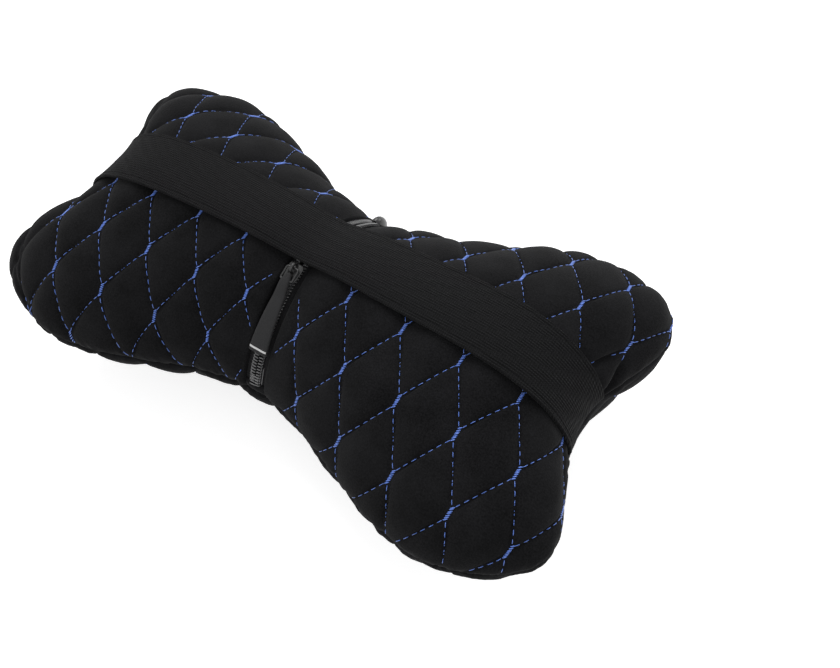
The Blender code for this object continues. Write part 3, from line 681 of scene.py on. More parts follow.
print("seam of one half: %d points" % len(seam_arc(FACE_STEP)))


# %% The cut panels
CREASE_DEPTH = 0.8
FOLD_DEPTH = 2.2
FOLD_WIDTH = 0.2
SEAM_EDGE_DEPTHS = (3.0, 5.5)
ZIP_EDGE_DEPTHS = (1.0, 4.2)
ZIP_EDGE_TUCK = 0.35


class Panel:
    """One cut panel: half is 1, -1 or 0 for the right, left or whole outline."""

    def __init__(self, side, half, lattice):
        self.side, self.half, self.lattice = side, half, lattice
        arc = seam_arc(FACE_STEP)
        mirror = np.array([-1.0, 1.0])
        count = int(2 * WAIST_REACH / FACE_STEP)
        edge_y = WAIST_REACH * np.sin(0.5 * np.pi * np.linspace(1, -1, count + 1)[1:-1])
        edge = np.stack([np.full_like(edge_y, HALF_OPENING), edge_y], axis=1)
        if half:
            boundary = np.concatenate([arc, edge])
            self.boundary = boundary if half > 0 else boundary * mirror
            self.seam_count = len(arc)
        else:
            self.boundary = np.concatenate([arc, arc[::-1] * mirror])
            self.seam_count = len(self.boundary)

    def distances(self, cloth):
        """Cloth distance from the seam, and distance from the zip's edge."""
        plan, from_seam = to_plan(cloth)
        from_zip = plan[:, 0] * self.half - HALF_OPENING if self.half else np.full(len(plan), 99.0)
        return plan, from_seam, from_zip

    def surface(self, cloth, lift=0.0):
        """Points at a height over the quilted face."""
        plan, from_seam, from_zip = self.distances(cloth)
        height = relief(cloth, self.lattice, np.maximum(from_seam, 0), np.maximum(from_zip, 0))
        if self.side > 0:
            cover, middle = band_cover(plan)
            snug = band_height(from_seam) - 0.1
            height = height + (np.minimum(height, snug) - height) * cover
            height = height + (snug - height) * middle
            rolled = rolled_seam(plan)
            crease = np.exp(-((from_seam - rolled) / 1.0) ** 2) * np.clip(rolled / 4, 0, 1)
            first, second = self.lattice.cells(self.lattice.even(cloth))
            on_line = np.exp(-(np.sin(np.pi * first) * np.sin(np.pi * second) / FOLD_WIDTH) ** 2)
            height = height - CREASE_DEPTH * crease - FOLD_DEPTH * on_line * gathers(plan)
        return lay(plan, self.side, height + lift)

    def face(self):
        """Points and triangles of the quilted face, with its turned-in edge."""
        border = to_cloth(self.boundary)
        inner = lattice_points(self.lattice)
        inner = inner[np.hypot(inner[:, 0] / 200, inner[:, 1] / 140) < 1]
        _, from_seam, from_zip = self.distances(inner)
        margin = 0.6 * FACE_STEP
        inner = inner[(from_seam > margin) & (from_zip > margin)]
        cloth = np.concatenate([border, inner])
        count = len(border)
        flip = -1 if self.half < 0 else 1
        points = [Vector((u * flip, v)) for u, v in cloth]
        triangles = delaunay_2d_cdt(points, [], [list(range(count))], 1, 1e-5)[2]
        verts = self.surface(cloth)
        rim = self.boundary
        on_zip = np.arange(count) >= self.seam_count
        under, deep = [lay(rim, self.side, -np.where(on_zip, at_zip, at_seam))
                       for at_zip, at_seam in zip(ZIP_EDGE_DEPTHS, SEAM_EDGE_DEPTHS)]
        under[on_zip, 0] -= ZIP_EDGE_TUCK * self.half
        first = len(verts)
        verts = np.concatenate([verts, under, deep])
        quads = []
        for a in range(count):
            b = (a + 1) % count
            for top, low in ((0, first), (first, first + count)):
                quads.append((top + b, top + a, low + a, low + b))
        return verts, facing(list(triangles) + quads, self.side * flip < 0)


panels = {"front": Panel(-1, 0, Lattice((0.0, 0.0))),
          "back_right": Panel(1, 1, right_lattice),
          "back_left": Panel(1, -1, left_lattice)}
for label, panel in panels.items():
    verts, faces = panel.face()
    cover = mesh_object("fabric_" + label, verts, faces)
    show(cover, "pillow", suede, ["cover_" + label])

# %% [markdown]
# ## The blue thread
# A lockstitch shows as short dashes with gaps: the thread goes down through the fabric between them.
# Each dash is a small rod with rounded ends that sink into the cloth. The bars where two zigzags meet
# are wound close together, so they read as one thick bright mark.


# %% One stitch, many times
STITCH_PITCH = 3.15
STITCH_LENGTH = 2.15
THREAD_RADIUS = 0.165
BAR_RADIUS = 0.27
BAR_STITCHES = 7
BAR_REACH = 0.72
BAR_SLANT = 0.6
BAR_SPREAD = 0.35
SEAM_CLEAR = 2.2
FRONT_CLEAR = 10.0
ROLL_HIDES = 27.0
ZIP_CLEAR = 2.0
THREAD_LIFT = 0.12


def dash_points(ends, normals, radius, sides, sink):
    """Points and faces of rods between pairs of ends, thick in the middle and sunk at the tips."""
    sides_at = np.linspace(0, 2 * np.pi, sides, endpoint=False)
    profile = [(0.0, 0.15, -sink), (0.12, 0.8, -0.25 * sink), (0.5, 1.0, 0.0),
               (0.88, 0.8, -0.25 * sink), (1.0, 0.15, -sink)]
    a, b = ends[:, 0], ends[:, 1]
    along = b - a
    along /= np.linalg.norm(along, axis=1, keepdims=True)
    across = np.cross(normals, along)
    across /= np.linalg.norm(across, axis=1, keepdims=True)
    up = np.cross(along, across)
    rings = []
    for share, wide, dip in profile:
        centre = a + (b - a) * share + up * dip
        for angle in sides_at:
            rings.append(centre + radius * wide * (across * math.cos(angle) + up * math.sin(angle)))
    points = np.stack(rings, axis=1)
    per = len(profile) * sides
    one = capped_faces(len(profile), sides)
    faces = [tuple(v + k * per for v in face) for k in range(len(points)) for face in one]
    return points.reshape(-1, 3), faces


one_dash, _ = dash_points(np.eye(3)[None, :2], np.eye(3)[2:], THREAD_RADIUS, 6, 0.3)
print("a dash has %d points" % len(one_dash))


# %% The lines of stitching
def quilting_threads():
    """Straight runs of stitching between bars, and the bars' middles, on the even lattice."""
    runs, bars = [], []
    half_u, half_v = 0.5 * DIAMOND_LENGTH, 0.5 * DIAMOND_WIDTH
    for m in range(-18, 19):
        for j in range(-8, 9):
            if (m + j) % 2 == 0:
                u, v = m * half_u, j * half_v
                bars.append((u, v))
                for turn in (1, -1):
                    start = (u + turn * BAR_SPREAD, v + BAR_HALF)
                    runs.append((start, (u + turn * (half_u - BAR_SPREAD), v + half_v - BAR_HALF)))
    return runs, bars


def stitch_panel(panel, seed):
    """All the dashes of one panel as points and faces."""
    rng = np.random.default_rng(seed)
    runs, bars = quilting_threads()
    starts, ends = [], []
    for a, b in runs:
        a, b = np.array(a), np.array(b)
        length = np.linalg.norm(b - a)
        count = int(round(length / STITCH_PITCH))
        pitch = length / count
        for k in range(count):
            low = (k + 0.5 * (1 - STITCH_LENGTH / STITCH_PITCH)) * pitch + rng.uniform(-0.12, 0.12)
            starts.append(a + (b - a) * low / length)
            ends.append(a + (b - a) * (low + STITCH_LENGTH * rng.uniform(0.9, 1.06)) / length)
    dashes = len(starts)
    for u, v in bars:
        for k in range(BAR_STITCHES):
            y = v + BAR_HALF * (2 * k / (BAR_STITCHES - 1) - 1)
            lean = rng.uniform(-0.15, 0.15)
            starts.append(np.array([u - BAR_REACH, y - BAR_SLANT + lean]))
            ends.append(np.array([u + BAR_REACH, y + BAR_SLANT + lean]))
    starts, ends = panel.lattice.to_cloth(starts), panel.lattice.to_cloth(ends)
    middle = 0.5 * (starts + ends)
    plan, from_seam, from_zip = panel.distances(middle)
    reach = np.hypot(middle[:, 0], middle[:, 1])
    kept = (from_zip > ZIP_CLEAR) & (reach > 1)
    if panel.side > 0:
        clear = SEAM_CLEAR + ROLL_HIDES * np.clip((rolled_seam(plan) - 10) / 5, 0, 1)
        kept &= (from_seam > clear) & (gathers(plan) < 0.5)
    else:
        kept &= from_seam > FRONT_CLEAR
    thin = int(kept[:dashes].sum())
    starts, ends, plan = starts[kept], ends[kept], plan[kept]
    _, normals = form_points(plan, panel.side)
    pairs = np.stack([panel.surface(starts, THREAD_LIFT), panel.surface(ends, THREAD_LIFT)], axis=1)
    verts, faces = dash_points(pairs[:thin], normals[:thin], THREAD_RADIUS, 6, 0.3)
    more, extra = dash_points(pairs[thin:], normals[thin:], BAR_RADIUS, 6, 0.15)
    faces += [tuple(v + len(verts) for v in face) for face in extra]
    return np.concatenate([verts, more]), faces


for seed, (label, panel) in enumerate(panels.items()):
    verts, faces = stitch_panel(panel, seed + 11)
    threads = mesh_object("thread_" + label, verts, faces)
    show(threads, "pillow", blue_thread)

# %% [markdown]
# ## The filling
# A plain inner cushion fills the cover. It shows only where the zip parts, so it is smooth and a little
# lumpy, and lies under the linings.

# %% Inner cushion
FILL_DEPTH = 9.0
FILL_LUMPS = 0.8
FILL_INSET = 0.9999
turns, rings = ((360, 60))
angles = np.linspace(-np.pi, np.pi, turns, endpoint=False)
shares = np.sin(np.linspace(0.02, 0.5 * np.pi, rings))
radius = outline_radius(angles)
layers, fill_faces = [], []
for side in (1, -1):
    plan = np.concatenate([np.stack([radius * s * np.cos(angles), radius * s * np.sin(angles)], axis=1)
                           for s in shares])
    lump = FILL_LUMPS * value_noise(to_cloth(plan * FILL_INSET), 17.0, 21)
    height = -FILL_DEPTH + lump * np.sqrt(np.clip(fullness(*plan.T), 0, 1))
    layers.append(lay(plan * FILL_INSET, side, height))
for k in (0, 1):
    first = k * rings * turns
    quads = grid_faces(rings, turns, first, wrap=True)
    fill_faces += facing(quads + [tuple(range(first, first + turns))[::-1]], turned=k > 0)
count = rings * turns
for c in range(turns):
    d = (c + 1) % turns
    a = count - turns
    fill_faces.append((a + d, a + c, count + a + c, count + a + d))
cushion = mesh_object("filling", np.concatenate(layers), fill_faces)
show(cushion, "pillow", fibre, ["inner_pillow"])

# %% [markdown]
# ## The elastic band
# The band is woven flat with fine ribs along it and a thicker line near each edge. Real ribs catch the
# light along the whole band, which a bump alone can't do at a low angle.

# %% Band
BAND_THICKNESS = 1.4
BAND_RIBS = 25
RIB_HEIGHT = 0.22
LINE_GROOVE = 0.22
LINE_PLACE = 2.2
TUCK_DEPTH = 1.6
TUCK_REACH = 2.5
BAND_WAVES = 0.2
across_count = BAND_RIBS * 7 + 1
along_count = 320
across = np.linspace(-0.5 * BAND_WIDTH, 0.5 * BAND_WIDTH, across_count)
band_reach = farthest(lambda x: fullness(x, across) > 0, across_count)
half_cloth = to_cloth(np.array([(NOTCH_REACH, 0.0)]))[0, 0]
run = np.linspace(-half_cloth, half_cloth, along_count)
centre, _ = to_plan(np.stack([run, np.zeros_like(run)], axis=1))
ribs = np.sin(np.pi * BAND_RIBS * (across / BAND_WIDTH + 0.5)) ** 2
edge_in = 0.5 * BAND_WIDTH - np.abs(across)
groove = np.exp(-((edge_in - LINE_PLACE) / 0.35) ** 2)
profile = RIB_HEIGHT * np.sqrt(ribs + 0.02) - LINE_GROOVE * groove
profile -= 0.5 * (1 - np.clip(edge_in / 0.5, 0, 1)) ** 2
tops, bottoms = [], []
for share in centre[:, 0] / NOTCH_REACH:
    plan = np.stack([share * band_reach, across + BAND_BOW * (1 - share ** 2)], axis=1)
    cloth = to_cloth(plan)
    _, from_seam = to_plan(cloth)
    tuck = np.exp(-(from_seam / TUCK_REACH) ** 2)
    waves = BAND_WAVES * np.clip(from_seam / 60, 0, 1) * (1 + value_noise(cloth, 26.0, 31))
    under = band_height(from_seam) + 0.1 + waves - TUCK_DEPTH * tuck
    bottoms.append(lay(plan, 1, under))
    tops.append(lay(plan, 1, under + BAND_THICKNESS - 0.2 + profile))
base = along_count * across_count
faces = facing(grid_faces(along_count, across_count), turned=True)
faces += grid_faces(along_count, across_count, base)
for c in (0, across_count - 1):
    faces += strip(range(c, base, across_count), base, turned=c == 0)
for first in (0, base - across_count):
    faces += strip(range(first, first + across_count), base, turned=first > 0)
band = mesh_object("elastic_webbing", np.concatenate(tops + bottoms), faces)
show(band, "pillow", webbing, ["elastic_band"])

# %% [markdown]
# ## The zip
# The coil is a bent filament, sewn to the edge of each tape. Each half is a helix, and the two halves
# lock with their turns half a pitch apart. The slider parts them toward the far end.

# %% Zip line
SEAM_THICKNESS = 1.3
GAP = 0.3
TAPE_EDGE = 9.4
TAPE_THICKNESS = 0.6
TAPE_DEPTH = SEAM_THICKNESS + GAP
COIL_DEPTH = TAPE_DEPTH - GAP
COIL_WIDTH = 2.9
COIL_HEIGHT = 1.7
COIL_PITCH = 1.55
COIL_PARTING = 1.6
FILAMENT = 0.33
SLIDER_PLACE = -10.4
SLIDER_LENGTH = 9.4
STOP_LENGTH = 6.0
ZIP_END_MARGIN = 5.0


def zip_span():
    """Half the length of the zip in plan."""
    plan = np.array([(0.0, y) for y in np.linspace(0.01, WAIST_REACH, 200)])
    _, distance = to_plan(to_cloth(plan))
    return float(np.interp(-ZIP_END_MARGIN, -distance, plan[:, 1]))


SPAN = zip_span()
print("zip: %.0f mm long in plan" % (2 * SPAN))


# %% Places along the zip
def zip_lay(x, y, offset):
    """Points over the zip: x across it, y along it in plan, and an offset along the normal there."""
    x, y, offset = np.broadcast_arrays(np.asarray(x, float), np.asarray(y, float), np.asarray(offset, float))
    flat = np.stack([np.zeros(y.size), y.ravel()], axis=1)
    points = lay(flat, 1, offset.ravel())
    points[:, 0] += x.ravel()
    return points


def zip_run(start, end, count):
    """Values of y at equal steps of cloth length along the zip."""
    y = np.linspace(start, end, 400)
    cloth = to_cloth(np.stack([np.zeros_like(y), y], axis=1))[:, 1]
    length = np.abs(cloth - cloth[0])
    return np.interp(np.linspace(0, length[-1], count), length, y), length[-1]


def zip_normals(y):
    """The form's normals along the zip."""
    y = np.atleast_1d(y)
    return form_points(np.stack([np.zeros_like(y), y], axis=1), 1)[1]


def parting(y):
    """Half the distance between the two coils."""
    opening = np.clip((np.asarray(y) - SLIDER_PLACE) / SLIDER_LENGTH + 0.5, 0, 1)
    return 0.5 * GAP + (0.5 * COIL_PARTING - 0.5 * GAP) * opening


print("coils: %.2f mm apart when closed, %.2f mm past the slider" % tuple(2 * parting([-SPAN, SPAN])))


# %% Tubes and joined pieces
def tube(path, radius, sides, ups=None, closed=False):
    """Points and faces of a round tube along a path."""
    path = np.asarray(path, float)
    ahead = np.roll(path, -1, 0) - np.roll(path, 1, 0)
    if not closed:
        ahead[0], ahead[-1] = path[1] - path[0], path[-1] - path[-2]
    ahead /= np.linalg.norm(ahead, axis=1, keepdims=True)
    guide = np.tile([0.0, 0.0, 1.0], (len(path), 1)) if ups is None else np.asarray(ups, float)
    across = np.cross(guide, ahead)
    across /= np.maximum(np.linalg.norm(across, axis=1, keepdims=True), 1e-9)
    up = np.cross(ahead, across)
    angles = np.linspace(0, 2 * np.pi, sides, endpoint=False)
    spokes = across[:, None] * np.cos(angles)[:, None] + up[:, None] * np.sin(angles)[:, None]
    points = (path[:, None] + radius * spokes).reshape(-1, 3)
    if not closed:
        return points, capped_faces(len(path), sides)
    last = (len(path) - 1) * sides
    seam = [(last + c, last + (c + 1) % sides, (c + 1) % sides, c) for c in range(sides)]
    return points, grid_faces(len(path), sides, wrap=True) + seam


def joined(parts):
    """Several lists of points and faces as one."""
    points, faces, first = [], [], 0
    for more, extra in parts:
        points.append(np.asarray(more))
        faces += [tuple(v + first for v in face) for face in extra]
        first += len(more)
    return np.concatenate(points), faces


straight, _ = tube([(0, 0, 0), (0, 5, 0), (0, 10, 0)], 1.0, 6)
print("a tube of three rings has %d points" % len(straight))

# %% [markdown]
# Each tape is a thin strip with a faint ripple. A coil is drawn as the path of its filament, a helix
# flattened to the coil's width and height, and the filament is a tube along it. A row of stitches on top
# holds the coil to the tape.


# %% Tapes
TAPE_COLUMNS = 16
TAPE_RIPPLE = 0.12


def make_tape(side, word):
    """The tape of one half, from the coil's edge outward."""
    y, _ = zip_run(-SPAN, SPAN, 200)
    inner = parting(y)[:, None]
    share = np.linspace(0, 1, TAPE_COLUMNS)[None, :]
    x = side * (inner + (TAPE_EDGE - inner) * share)
    fold = TAPE_RIPPLE * np.sin(12 * share + 0.35 * y[:, None])
    top = zip_lay(x, y[:, None], -TAPE_DEPTH + fold)
    low = zip_lay(x, y[:, None], -TAPE_DEPTH - TAPE_THICKNESS + fold)
    quads = grid_faces(len(y), TAPE_COLUMNS)
    verts, faces = joined([(top, facing(quads, side > 0)), (low, facing(quads, side < 0))])
    for c in (0, TAPE_COLUMNS - 1):
        faces += strip(range(c, len(top), TAPE_COLUMNS), len(top))
    tape = mesh_object("tape_" + word, verts, faces)
    show(tape, "pillow", tape_cloth, ["zip_tape_" + word])


# %% Coils
SEWING_PLACE = 2.55
SEWING_RADIUS = 0.17
SEWING_LIFT = 0.06
coil_start, coil_end = -SPAN + 0.8, SPAN - STOP_LENGTH
coil_turns = int(zip_run(coil_start, coil_end, 2)[1] / COIL_PITCH)
print("coil: %d turns" % coil_turns)


def make_coil(side, word):
    """The filament of one half, its turns half a pitch apart from the other's."""
    y, _ = zip_run(coil_start, coil_end, coil_turns * 18 + 1)
    angle = np.linspace(0, 2 * np.pi * coil_turns, len(y)) + (0 if side > 0 else np.pi)
    wide = 0.5 * COIL_WIDTH - FILAMENT
    high = 0.5 * COIL_HEIGHT - FILAMENT
    x = parting(y) + FILAMENT + wide - wide * squared(np.cos(angle), 0.7)
    z = -COIL_DEPTH + 0.5 * COIL_HEIGHT + high * np.sin(angle)
    coil = mesh_object("coil_" + word, *tube(zip_lay(side * x, y, z), FILAMENT, 8))
    show(coil, "pillow", nylon, ["zip_coil_" + word])


def sew_coil(side, word):
    """The row of stitches along the top of one half."""
    y, _ = zip_run(coil_start, coil_end, coil_turns + 1)
    path = zip_lay(side * (parting(y) + SEWING_PLACE), y, COIL_HEIGHT - COIL_DEPTH + SEWING_LIFT)
    step = path[1:] - path[:-1]
    pairs = np.stack([path[:-1] + 0.12 * step, path[:-1] + 0.88 * step], axis=1)
    stitches = dash_points(pairs, zip_normals(y[:-1]), SEWING_RADIUS, 6, 0.3)
    sewing = mesh_object("coil_sewing_" + word, *stitches)
    show(sewing, "pillow", tape_cloth)


for side, word in ((1, "right"), (-1, "left")):
    make_tape(side, word)
    make_coil(side, word)
    sew_coil(side, word)

# %% [markdown]
# The far end of the zip carries a glossy moulded dome. At the near end a bar tack of thread crosses the
# coils, with one long stitch down each side.

# %% Stops
STOP_WIDTH = 6.6
STOP_RISE = 5.2
STOP_AROUND = 14
STOP_ROWS = 24
TACK_START = 0.4
TACK_END = 2.35
TACK_ROWS = 4
TACK_SLANT = 0.2


def stop_block(end, length, height):
    """A rounded block across the zip, from its end inward."""
    span = np.linspace(0, 1, STOP_ROWS)
    swell = np.clip(np.sin(np.pi * np.clip(span * 0.96 + 0.02, 0, 1)), 0, 1) ** 0.3
    y = end * (SPAN - length * span)
    angle = np.linspace(0, np.pi, STOP_AROUND)
    x = 0.5 * STOP_WIDTH * np.cos(angle)[None, :] * swell[:, None]
    z = -COIL_DEPTH + height * np.sin(angle)[None, :] * swell[:, None]
    starts = range(0, STOP_ROWS * STOP_AROUND, STOP_AROUND)
    quads = grid_faces(STOP_ROWS, STOP_AROUND) + strip(starts, STOP_AROUND - 1)
    return zip_lay(x, y[:, None], z), quads


far_stop = mesh_object("stop_far", *stop_block(1, STOP_LENGTH, STOP_RISE))
show(far_stop, "pillow", glossy_nylon, ["zip_stop_far"])

tack_rows = []
for y in -SPAN + np.linspace(TACK_START, TACK_END, TACK_ROWS):
    ends = zip_lay([-0.5 * STOP_WIDTH, 0.5 * STOP_WIDTH], [y - TACK_SLANT, y + TACK_SLANT],
                   COIL_HEIGHT - COIL_DEPTH - 0.1)
    tack_rows.append(dash_points(ends[None], zip_normals(y), 0.3, 6, 0.9))
for side in (-1, 1):
    y = -SPAN + np.array([TACK_START, STOP_LENGTH - 0.6])
    ends = zip_lay(side * 0.5 * STOP_WIDTH, y, -COIL_DEPTH + 0.3)
    tack_rows.append(dash_points(ends[None], zip_normals(y.mean()), 0.35, 6, 0.3))
near_stop = mesh_object("stop_near", *joined(tack_rows))
show(near_stop, "pillow", nylon, ["zip_stop_near"])

# %% [markdown]
# Past each end of the zip the two halves of the back meet again. A small domed patch, tucked in all
# round, closes the opening from the zip's end to the seam.

# %% Fabric past the ends of the zip
PATCH_ROWS = 16
PATCH_COLUMNS = 25
PATCH_HALF_WIDTH = HALF_OPENING + 0.4
PATCH_SINK = 1.7
PATCH_DOME = 2.0
PATCH_FOLD = 0.25
for end, word in ((-1, "near"), (1, "far")):
    y = end * np.linspace(SPAN - 0.6, WAIST_REACH - 0.02, PATCH_ROWS)
    x = np.linspace(-PATCH_HALF_WIDTH, PATCH_HALF_WIDTH, PATCH_COLUMNS)
    dome = np.cos(0.5 * np.pi * x / x.max())[None, :] ** 0.5
    rise = np.sin(np.pi * np.linspace(0, 1, PATCH_ROWS))[:, None] ** 0.5
    fold = PATCH_FOLD * np.sin(1.9 * x)[None, :] * (1 - rise)
    points = zip_lay(x[None, :], y[:, None], -PATCH_SINK + PATCH_DOME * dome * rise + fold)
    faces = facing(grid_faces(PATCH_ROWS, PATCH_COLUMNS), turned=end > 0)
    patch = mesh_object("zip_end_cloth_" + word, points, faces)
    show(patch, "pillow", suede)

# %% [markdown]
# ## Slider, link and tab
# The slider's body is two plates round the tapes with a crown on top. A wire link hangs in the crown and
# holds the soft tab. The link and the tab turn together about the crown, so they ride on their own body.

# %% Slider
PLATE = 1.0
CLEARANCE = 0.45
SLIDER_WIDTH = 8.2
SLIDER_TAIL_WIDTH = 6.8
CROWN_PLACE = 1.6
CROWN_SPAN = 4.2
CROWN_WIRE = 0.7
POST_RADIUS = 0.5
LINK_WIRE = 0.5
LINK_WIDTH = 7.2
LINK_LENGTH = 6.2
TAB_EYE = 2.6
coil_top = COIL_HEIGHT - COIL_DEPTH
top_low = coil_top + CLEARANCE
low_high = -TAPE_DEPTH - TAPE_THICKNESS - CLEARANCE
crown_up = top_low + PLATE + GAP + 0.5 * TAB_EYE
up = Vector(zip_normals(SLIDER_PLACE)[0])
along = up.cross(Vector((1, 0, 0)))
slider_matrix = np.array(Matrix((Vector((1, 0, 0)), along, up)).transposed())
slider_origin = zip_lay(0, SLIDER_PLACE, 0)[0]


def in_slider(points):
    """Points in the slider's own frame, along the zip and out of the pillow, as pillow points."""
    return np.asarray(points) @ slider_matrix.T + slider_origin


def plate(low, high):
    """A rounded plate, wider at its mouth, with soft edges."""
    rows = []
    levels = [(0.0, 0.82), (0.12, 0.94), (0.3, 1.0), (0.7, 1.0), (0.88, 0.94), (1.0, 0.82)]
    angles = np.linspace(0, 2 * np.pi, 48, endpoint=False)
    box_x, box_y = squared(np.cos(angles), 0.42), squared(np.sin(angles), 0.42)
    for share, size in levels:
        wide = SLIDER_TAIL_WIDTH + (SLIDER_WIDTH - SLIDER_TAIL_WIDTH) * 0.5 * (box_y + 1)
        x = 0.5 * wide * box_x * (0.5 * size + 0.5)
        y = 0.5 * SLIDER_LENGTH * box_y * (0.5 * size + 0.5)
        rows.append(np.stack([x, y, np.full_like(x, low + (high - low) * share)], axis=1))
    return in_slider(np.concatenate(rows)), capped_faces(len(levels), len(angles))


crown_rise = crown_up + LINK_WIRE + GAP + CROWN_WIRE - (top_low + 0.5 * PLATE)
arch = []
for angle in np.linspace(0, np.pi, 25):
    rise = top_low + 0.5 * PLATE + crown_rise * abs(math.sin(angle)) ** 0.6
    arch.append((0, CROWN_PLACE - 0.5 * CROWN_SPAN * math.cos(angle), rise))
post_heights = np.linspace(low_high - 0.5 * PLATE, top_low + 0.5 * PLATE, 6)
post = [(0, 0.5 * SLIDER_LENGTH - 1.4, height) for height in post_heights]
slider_parts = [
    plate(top_low, top_low + PLATE),
    plate(low_high - PLATE, low_high),
    tube(in_slider(arch), CROWN_WIRE, 12, ups=np.tile(slider_matrix[:, 0], (len(arch), 1))),
    tube(in_slider(post), POST_RADIUS, 10, ups=np.tile(slider_matrix[:, 0], (len(post), 1)))]
slider = mesh_object("slider", *joined(slider_parts))
show(slider, "pillow", dark_metal, ["zip_slider"])

# %% [markdown]
# The link is one wire bent into a closed rectangle with round corners, and it passes through the crown.

# %% Link
half, corner = 0.5 * LINK_WIDTH - LINK_WIRE, 1.5 * LINK_WIRE
centres = [(half - corner, -corner), (-half + corner, -corner),
           (-half + corner, -LINK_LENGTH + corner), (half - corner, -LINK_LENGTH + corner)]
loop = []
for turn, (x, y) in enumerate(centres):
    for k in range(7):
        angle = 0.5 * math.pi * (turn + k / 6)
        loop.append((x + corner * math.cos(angle), CROWN_PLACE + y + corner * math.sin(angle), crown_up))
link_ups = np.tile(slider_matrix[:, 2], (len(loop), 1))
link = mesh_object("link", *tube(in_slider(loop), LINK_WIRE, 10, ups=link_ups, closed=True))
show(link, "puller", dark_metal, ["pull_link"])

# %% [markdown]
# The tab is moulded round the link's far bar. It widens from its neck, bends down onto the coil, and
# follows the curve of the pillow. It is lofted from rounded sections, which grow smaller at the tip.

# %% Tab
TAB_LENGTH = 38.4
TAB_WIDTH = 10.0
TAB_NECK = 3.8
TAB_THICKNESS = 1.8
TAB_LIP = 3.2
TAB_SLOPE = 12.0
TAB_REST = 0.6
TIP_TAPER = 0.35
TAB_SIDES = 28
bar_point = in_slider([(0, CROWN_PLACE - LINK_LENGTH, crown_up)])[0]
over = coil_top + TAB_REST + 0.5 * TAB_THICKNESS
bar_height = float(np.dot(bar_point - zip_lay(0, bar_point[1], 0)[0], zip_normals(bar_point[1])[0]))
run_y, _ = zip_run(bar_point[1] + TAB_LIP, -SPAN, 200)
path = zip_lay(0, run_y, over)
lengths = np.concatenate([[0], np.cumsum(np.linalg.norm(np.diff(path, axis=0), axis=1))])


def tab_ring(s, wide=1.0, thick=1.0, lift=0.0):
    """One rounded section of the tab at a length s from the link."""
    y = float(np.interp(s, lengths, run_y))
    share = s / TAB_LENGTH
    half_wide = 0.5 * (TAB_NECK + (TAB_WIDTH - TAB_NECK) * share ** 0.8) * wide
    half_wide *= 1 - TIP_TAPER * max(0.0, 1 - s / TAB_LIP)
    near_link = min(1.0, max(0.0, (TAB_SLOPE - s) / (TAB_SLOPE - TAB_LIP)))
    near_link = near_link * near_link * (3 - 2 * near_link)
    half_thick = 0.5 * (TAB_THICKNESS + (TAB_EYE - TAB_THICKNESS) * near_link) * thick
    angles = np.linspace(0, 2 * np.pi, TAB_SIDES, endpoint=False)
    round_x, round_z = squared(np.cos(angles), 0.45), squared(np.sin(angles), 0.55)
    edge = half_wide - half_thick * 0.5 * (1 - np.abs(round_x))
    return zip_lay(edge * round_x, y, over + (bar_height - over) * near_link + half_thick * round_z + lift)


rings = [tab_ring(s) for s in np.linspace(0, TAB_LENGTH - 0.5, 60)]
rings.append(tab_ring(TAB_LENGTH - 0.2, 0.97, 0.8))
rings.append(tab_ring(TAB_LENGTH, 0.92, 0.45))
tab = mesh_object("tab", np.concatenate(rings), capped_faces(len(rings), TAB_SIDES))
show(tab, "puller", tab_rubber, ["pull_tab"])

# %% Pale line across the tab, near its tip
LINE_ROWS = 4
LINE_LIFT = 0.12
upper = slice(1, TAB_SIDES // 2)
line_rings = [tab_ring(s, 0.97, 1.0, LINE_LIFT)[upper]
              for s in np.linspace(TAB_LENGTH - 2.6, TAB_LENGTH - 1.7, LINE_ROWS)]
line = mesh_object("tab_line", np.concatenate(line_rings), grid_faces(LINE_ROWS, len(line_rings[0])))
show(line, "puller", pale_line)

# %% [markdown]
# ## Studio
# The photograph was taken over a plain pale floor, from above and from the right of the near side. The
# camera's place was found by fitting the pillow's form to it.

# %% Camera
YAW = math.radians(42.28)
PITCH = math.radians(57.83)
ROLL = math.radians(-10.47)
DISTANCE = 401.1
AIM = (48.14, 11.39, -1.06)
FOCAL_PIXELS = 850.0
IMAGE_WIDTH = 840
back = Vector((math.sin(YAW) * math.cos(PITCH), -math.cos(YAW) * math.cos(PITCH), math.sin(PITCH)))
side = Vector((math.cos(YAW), math.sin(YAW), 0))
upward = back.cross(side)
turn = Matrix((side, upward, back)).transposed()
turn = turn @ Matrix.Rotation(ROLL, 3, "Z")
data = bpy.data.cameras.new("camera")
data.sensor_width = 36.0
data.lens = FOCAL_PIXELS / IMAGE_WIDTH * data.sensor_width
data.clip_start = 0.01
camera = bpy.data.objects.new("camera", data)
where = (Vector(AIM) + back * DISTANCE + Vector((0, FAR_SHIFT, SEAM_LIFT))) * MM
camera.matrix_world = Matrix.Translation(where) @ turn.to_4x4()
bpy.context.scene.collection.objects.link(camera)
bpy.context.scene.camera = camera
print("camera: lens %.1f mm" % data.lens)

# %% [markdown]
# The floor and the world look nearly white to the camera, and to rays off gloss, while the light that
# reaches the pillow stays at a plain level. The floor still takes the pillow's shadow.


# %% Floor and world
FLOOR_GAP = 0.0005
FLOOR_GLOW = 0.66
WORLD_LEVEL = 0.42


def studio_rays(tree):
    """1 for the rays that see the white studio: the camera's, and those off gloss and through glass."""
    rays = add(tree, "ShaderNodeLightPath").outputs
    bounced = math_node(tree, "MAXIMUM", rays["Is Glossy Ray"], rays["Is Transmission Ray"])
    return math_node(tree, "MAXIMUM", rays["Is Camera Ray"], bounced)


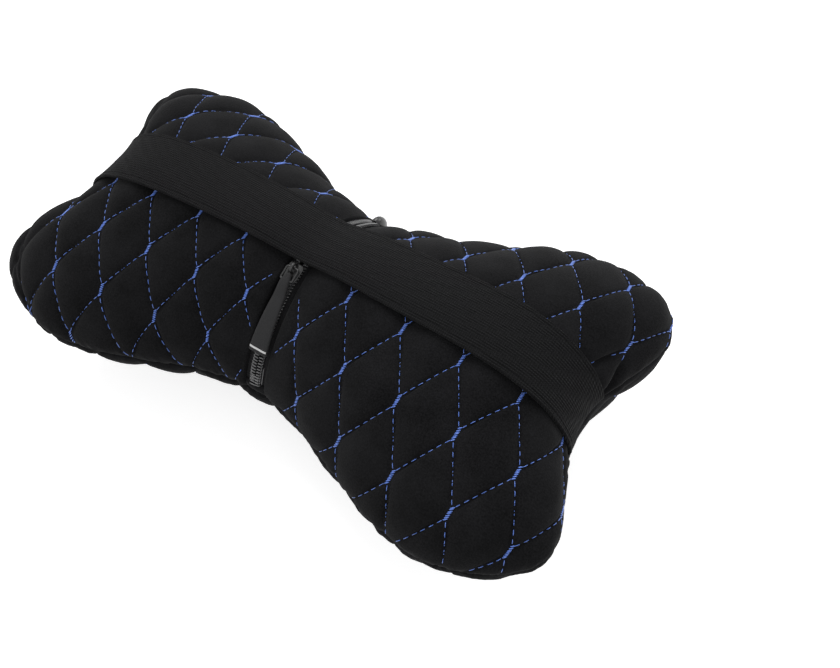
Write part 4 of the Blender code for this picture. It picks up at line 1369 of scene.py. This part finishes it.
floor_mesh = bpy.data.meshes.new("floor")
floor_mesh.from_pydata([(-3, -3, 0), (3, -3, 0), (3, 3, 0), (-3, 3, 0)], [], [(0, 1, 2, 3)])
floor = bpy.data.objects.new("floor", floor_mesh)
floor.location = (0, 0, -FLOOR_GAP)
bpy.context.scene.collection.objects.link(floor)
pale, shader = principled("pale_floor", (0.8, 0.8, 0.8), 0.8, Specular_IOR_Level=0.0)
seen = math_node(pale.node_tree, "MULTIPLY", studio_rays(pale.node_tree), FLOOR_GLOW)
shader.inputs["Emission Color"].default_value = (1, 1, 1, 1)
pale.node_tree.links.new(seen, shader.inputs["Emission Strength"])
floor_mesh.materials.append(pale)

world = bpy.data.worlds.new("studio")
bpy.context.scene.world = world
world.use_nodes = True
tree = world.node_tree
backdrop = tree.nodes["Background"]
level = add(tree, "ShaderNodeMapRange", {"Value": studio_rays(tree), "To Min": WORLD_LEVEL, "To Max": 1.0})
backdrop.inputs["Color"].default_value = (1, 1, 1, 1)
tree.links.new(level.outputs["Result"], backdrop.inputs["Strength"])
print("floor glow %.2f, world %.2f for the light on the pillow" % (FLOOR_GLOW, WORLD_LEVEL))

# %% [markdown]
# Four large soft lamps leave faint shadows and long soft highlights on the folds. The strongest stands
# behind the pillow, above and to its left.


# %% Lights
def soft_light(name, place, size, power):
    """A square area light aimed at the pillow."""
    lamp = bpy.data.lights.new(name, "AREA")
    lamp.size = size
    lamp.energy = power
    holder = bpy.data.objects.new(name, lamp)
    holder.location = place
    aim = Vector((0, 0, 0.04)) - Vector(place)
    holder.rotation_euler = aim.to_track_quat("-Z", "Y").to_euler()
    bpy.context.scene.collection.objects.link(holder)


soft_light("key", (-0.55, 0.75, 1.25), 0.9, 14.0)
soft_light("fill", (0.9, -0.7, 1.0), 1.1, 5.0)
soft_light("left", (-1.1, -0.7, 0.35), 0.7, 3.0)
soft_light("rim", (0.5, 1.2, 0.6), 0.8, 5.0)
bpy.context.scene.view_settings.view_transform = "Standard"
print("lights:", ", ".join(light.name for light in bpy.data.lights))
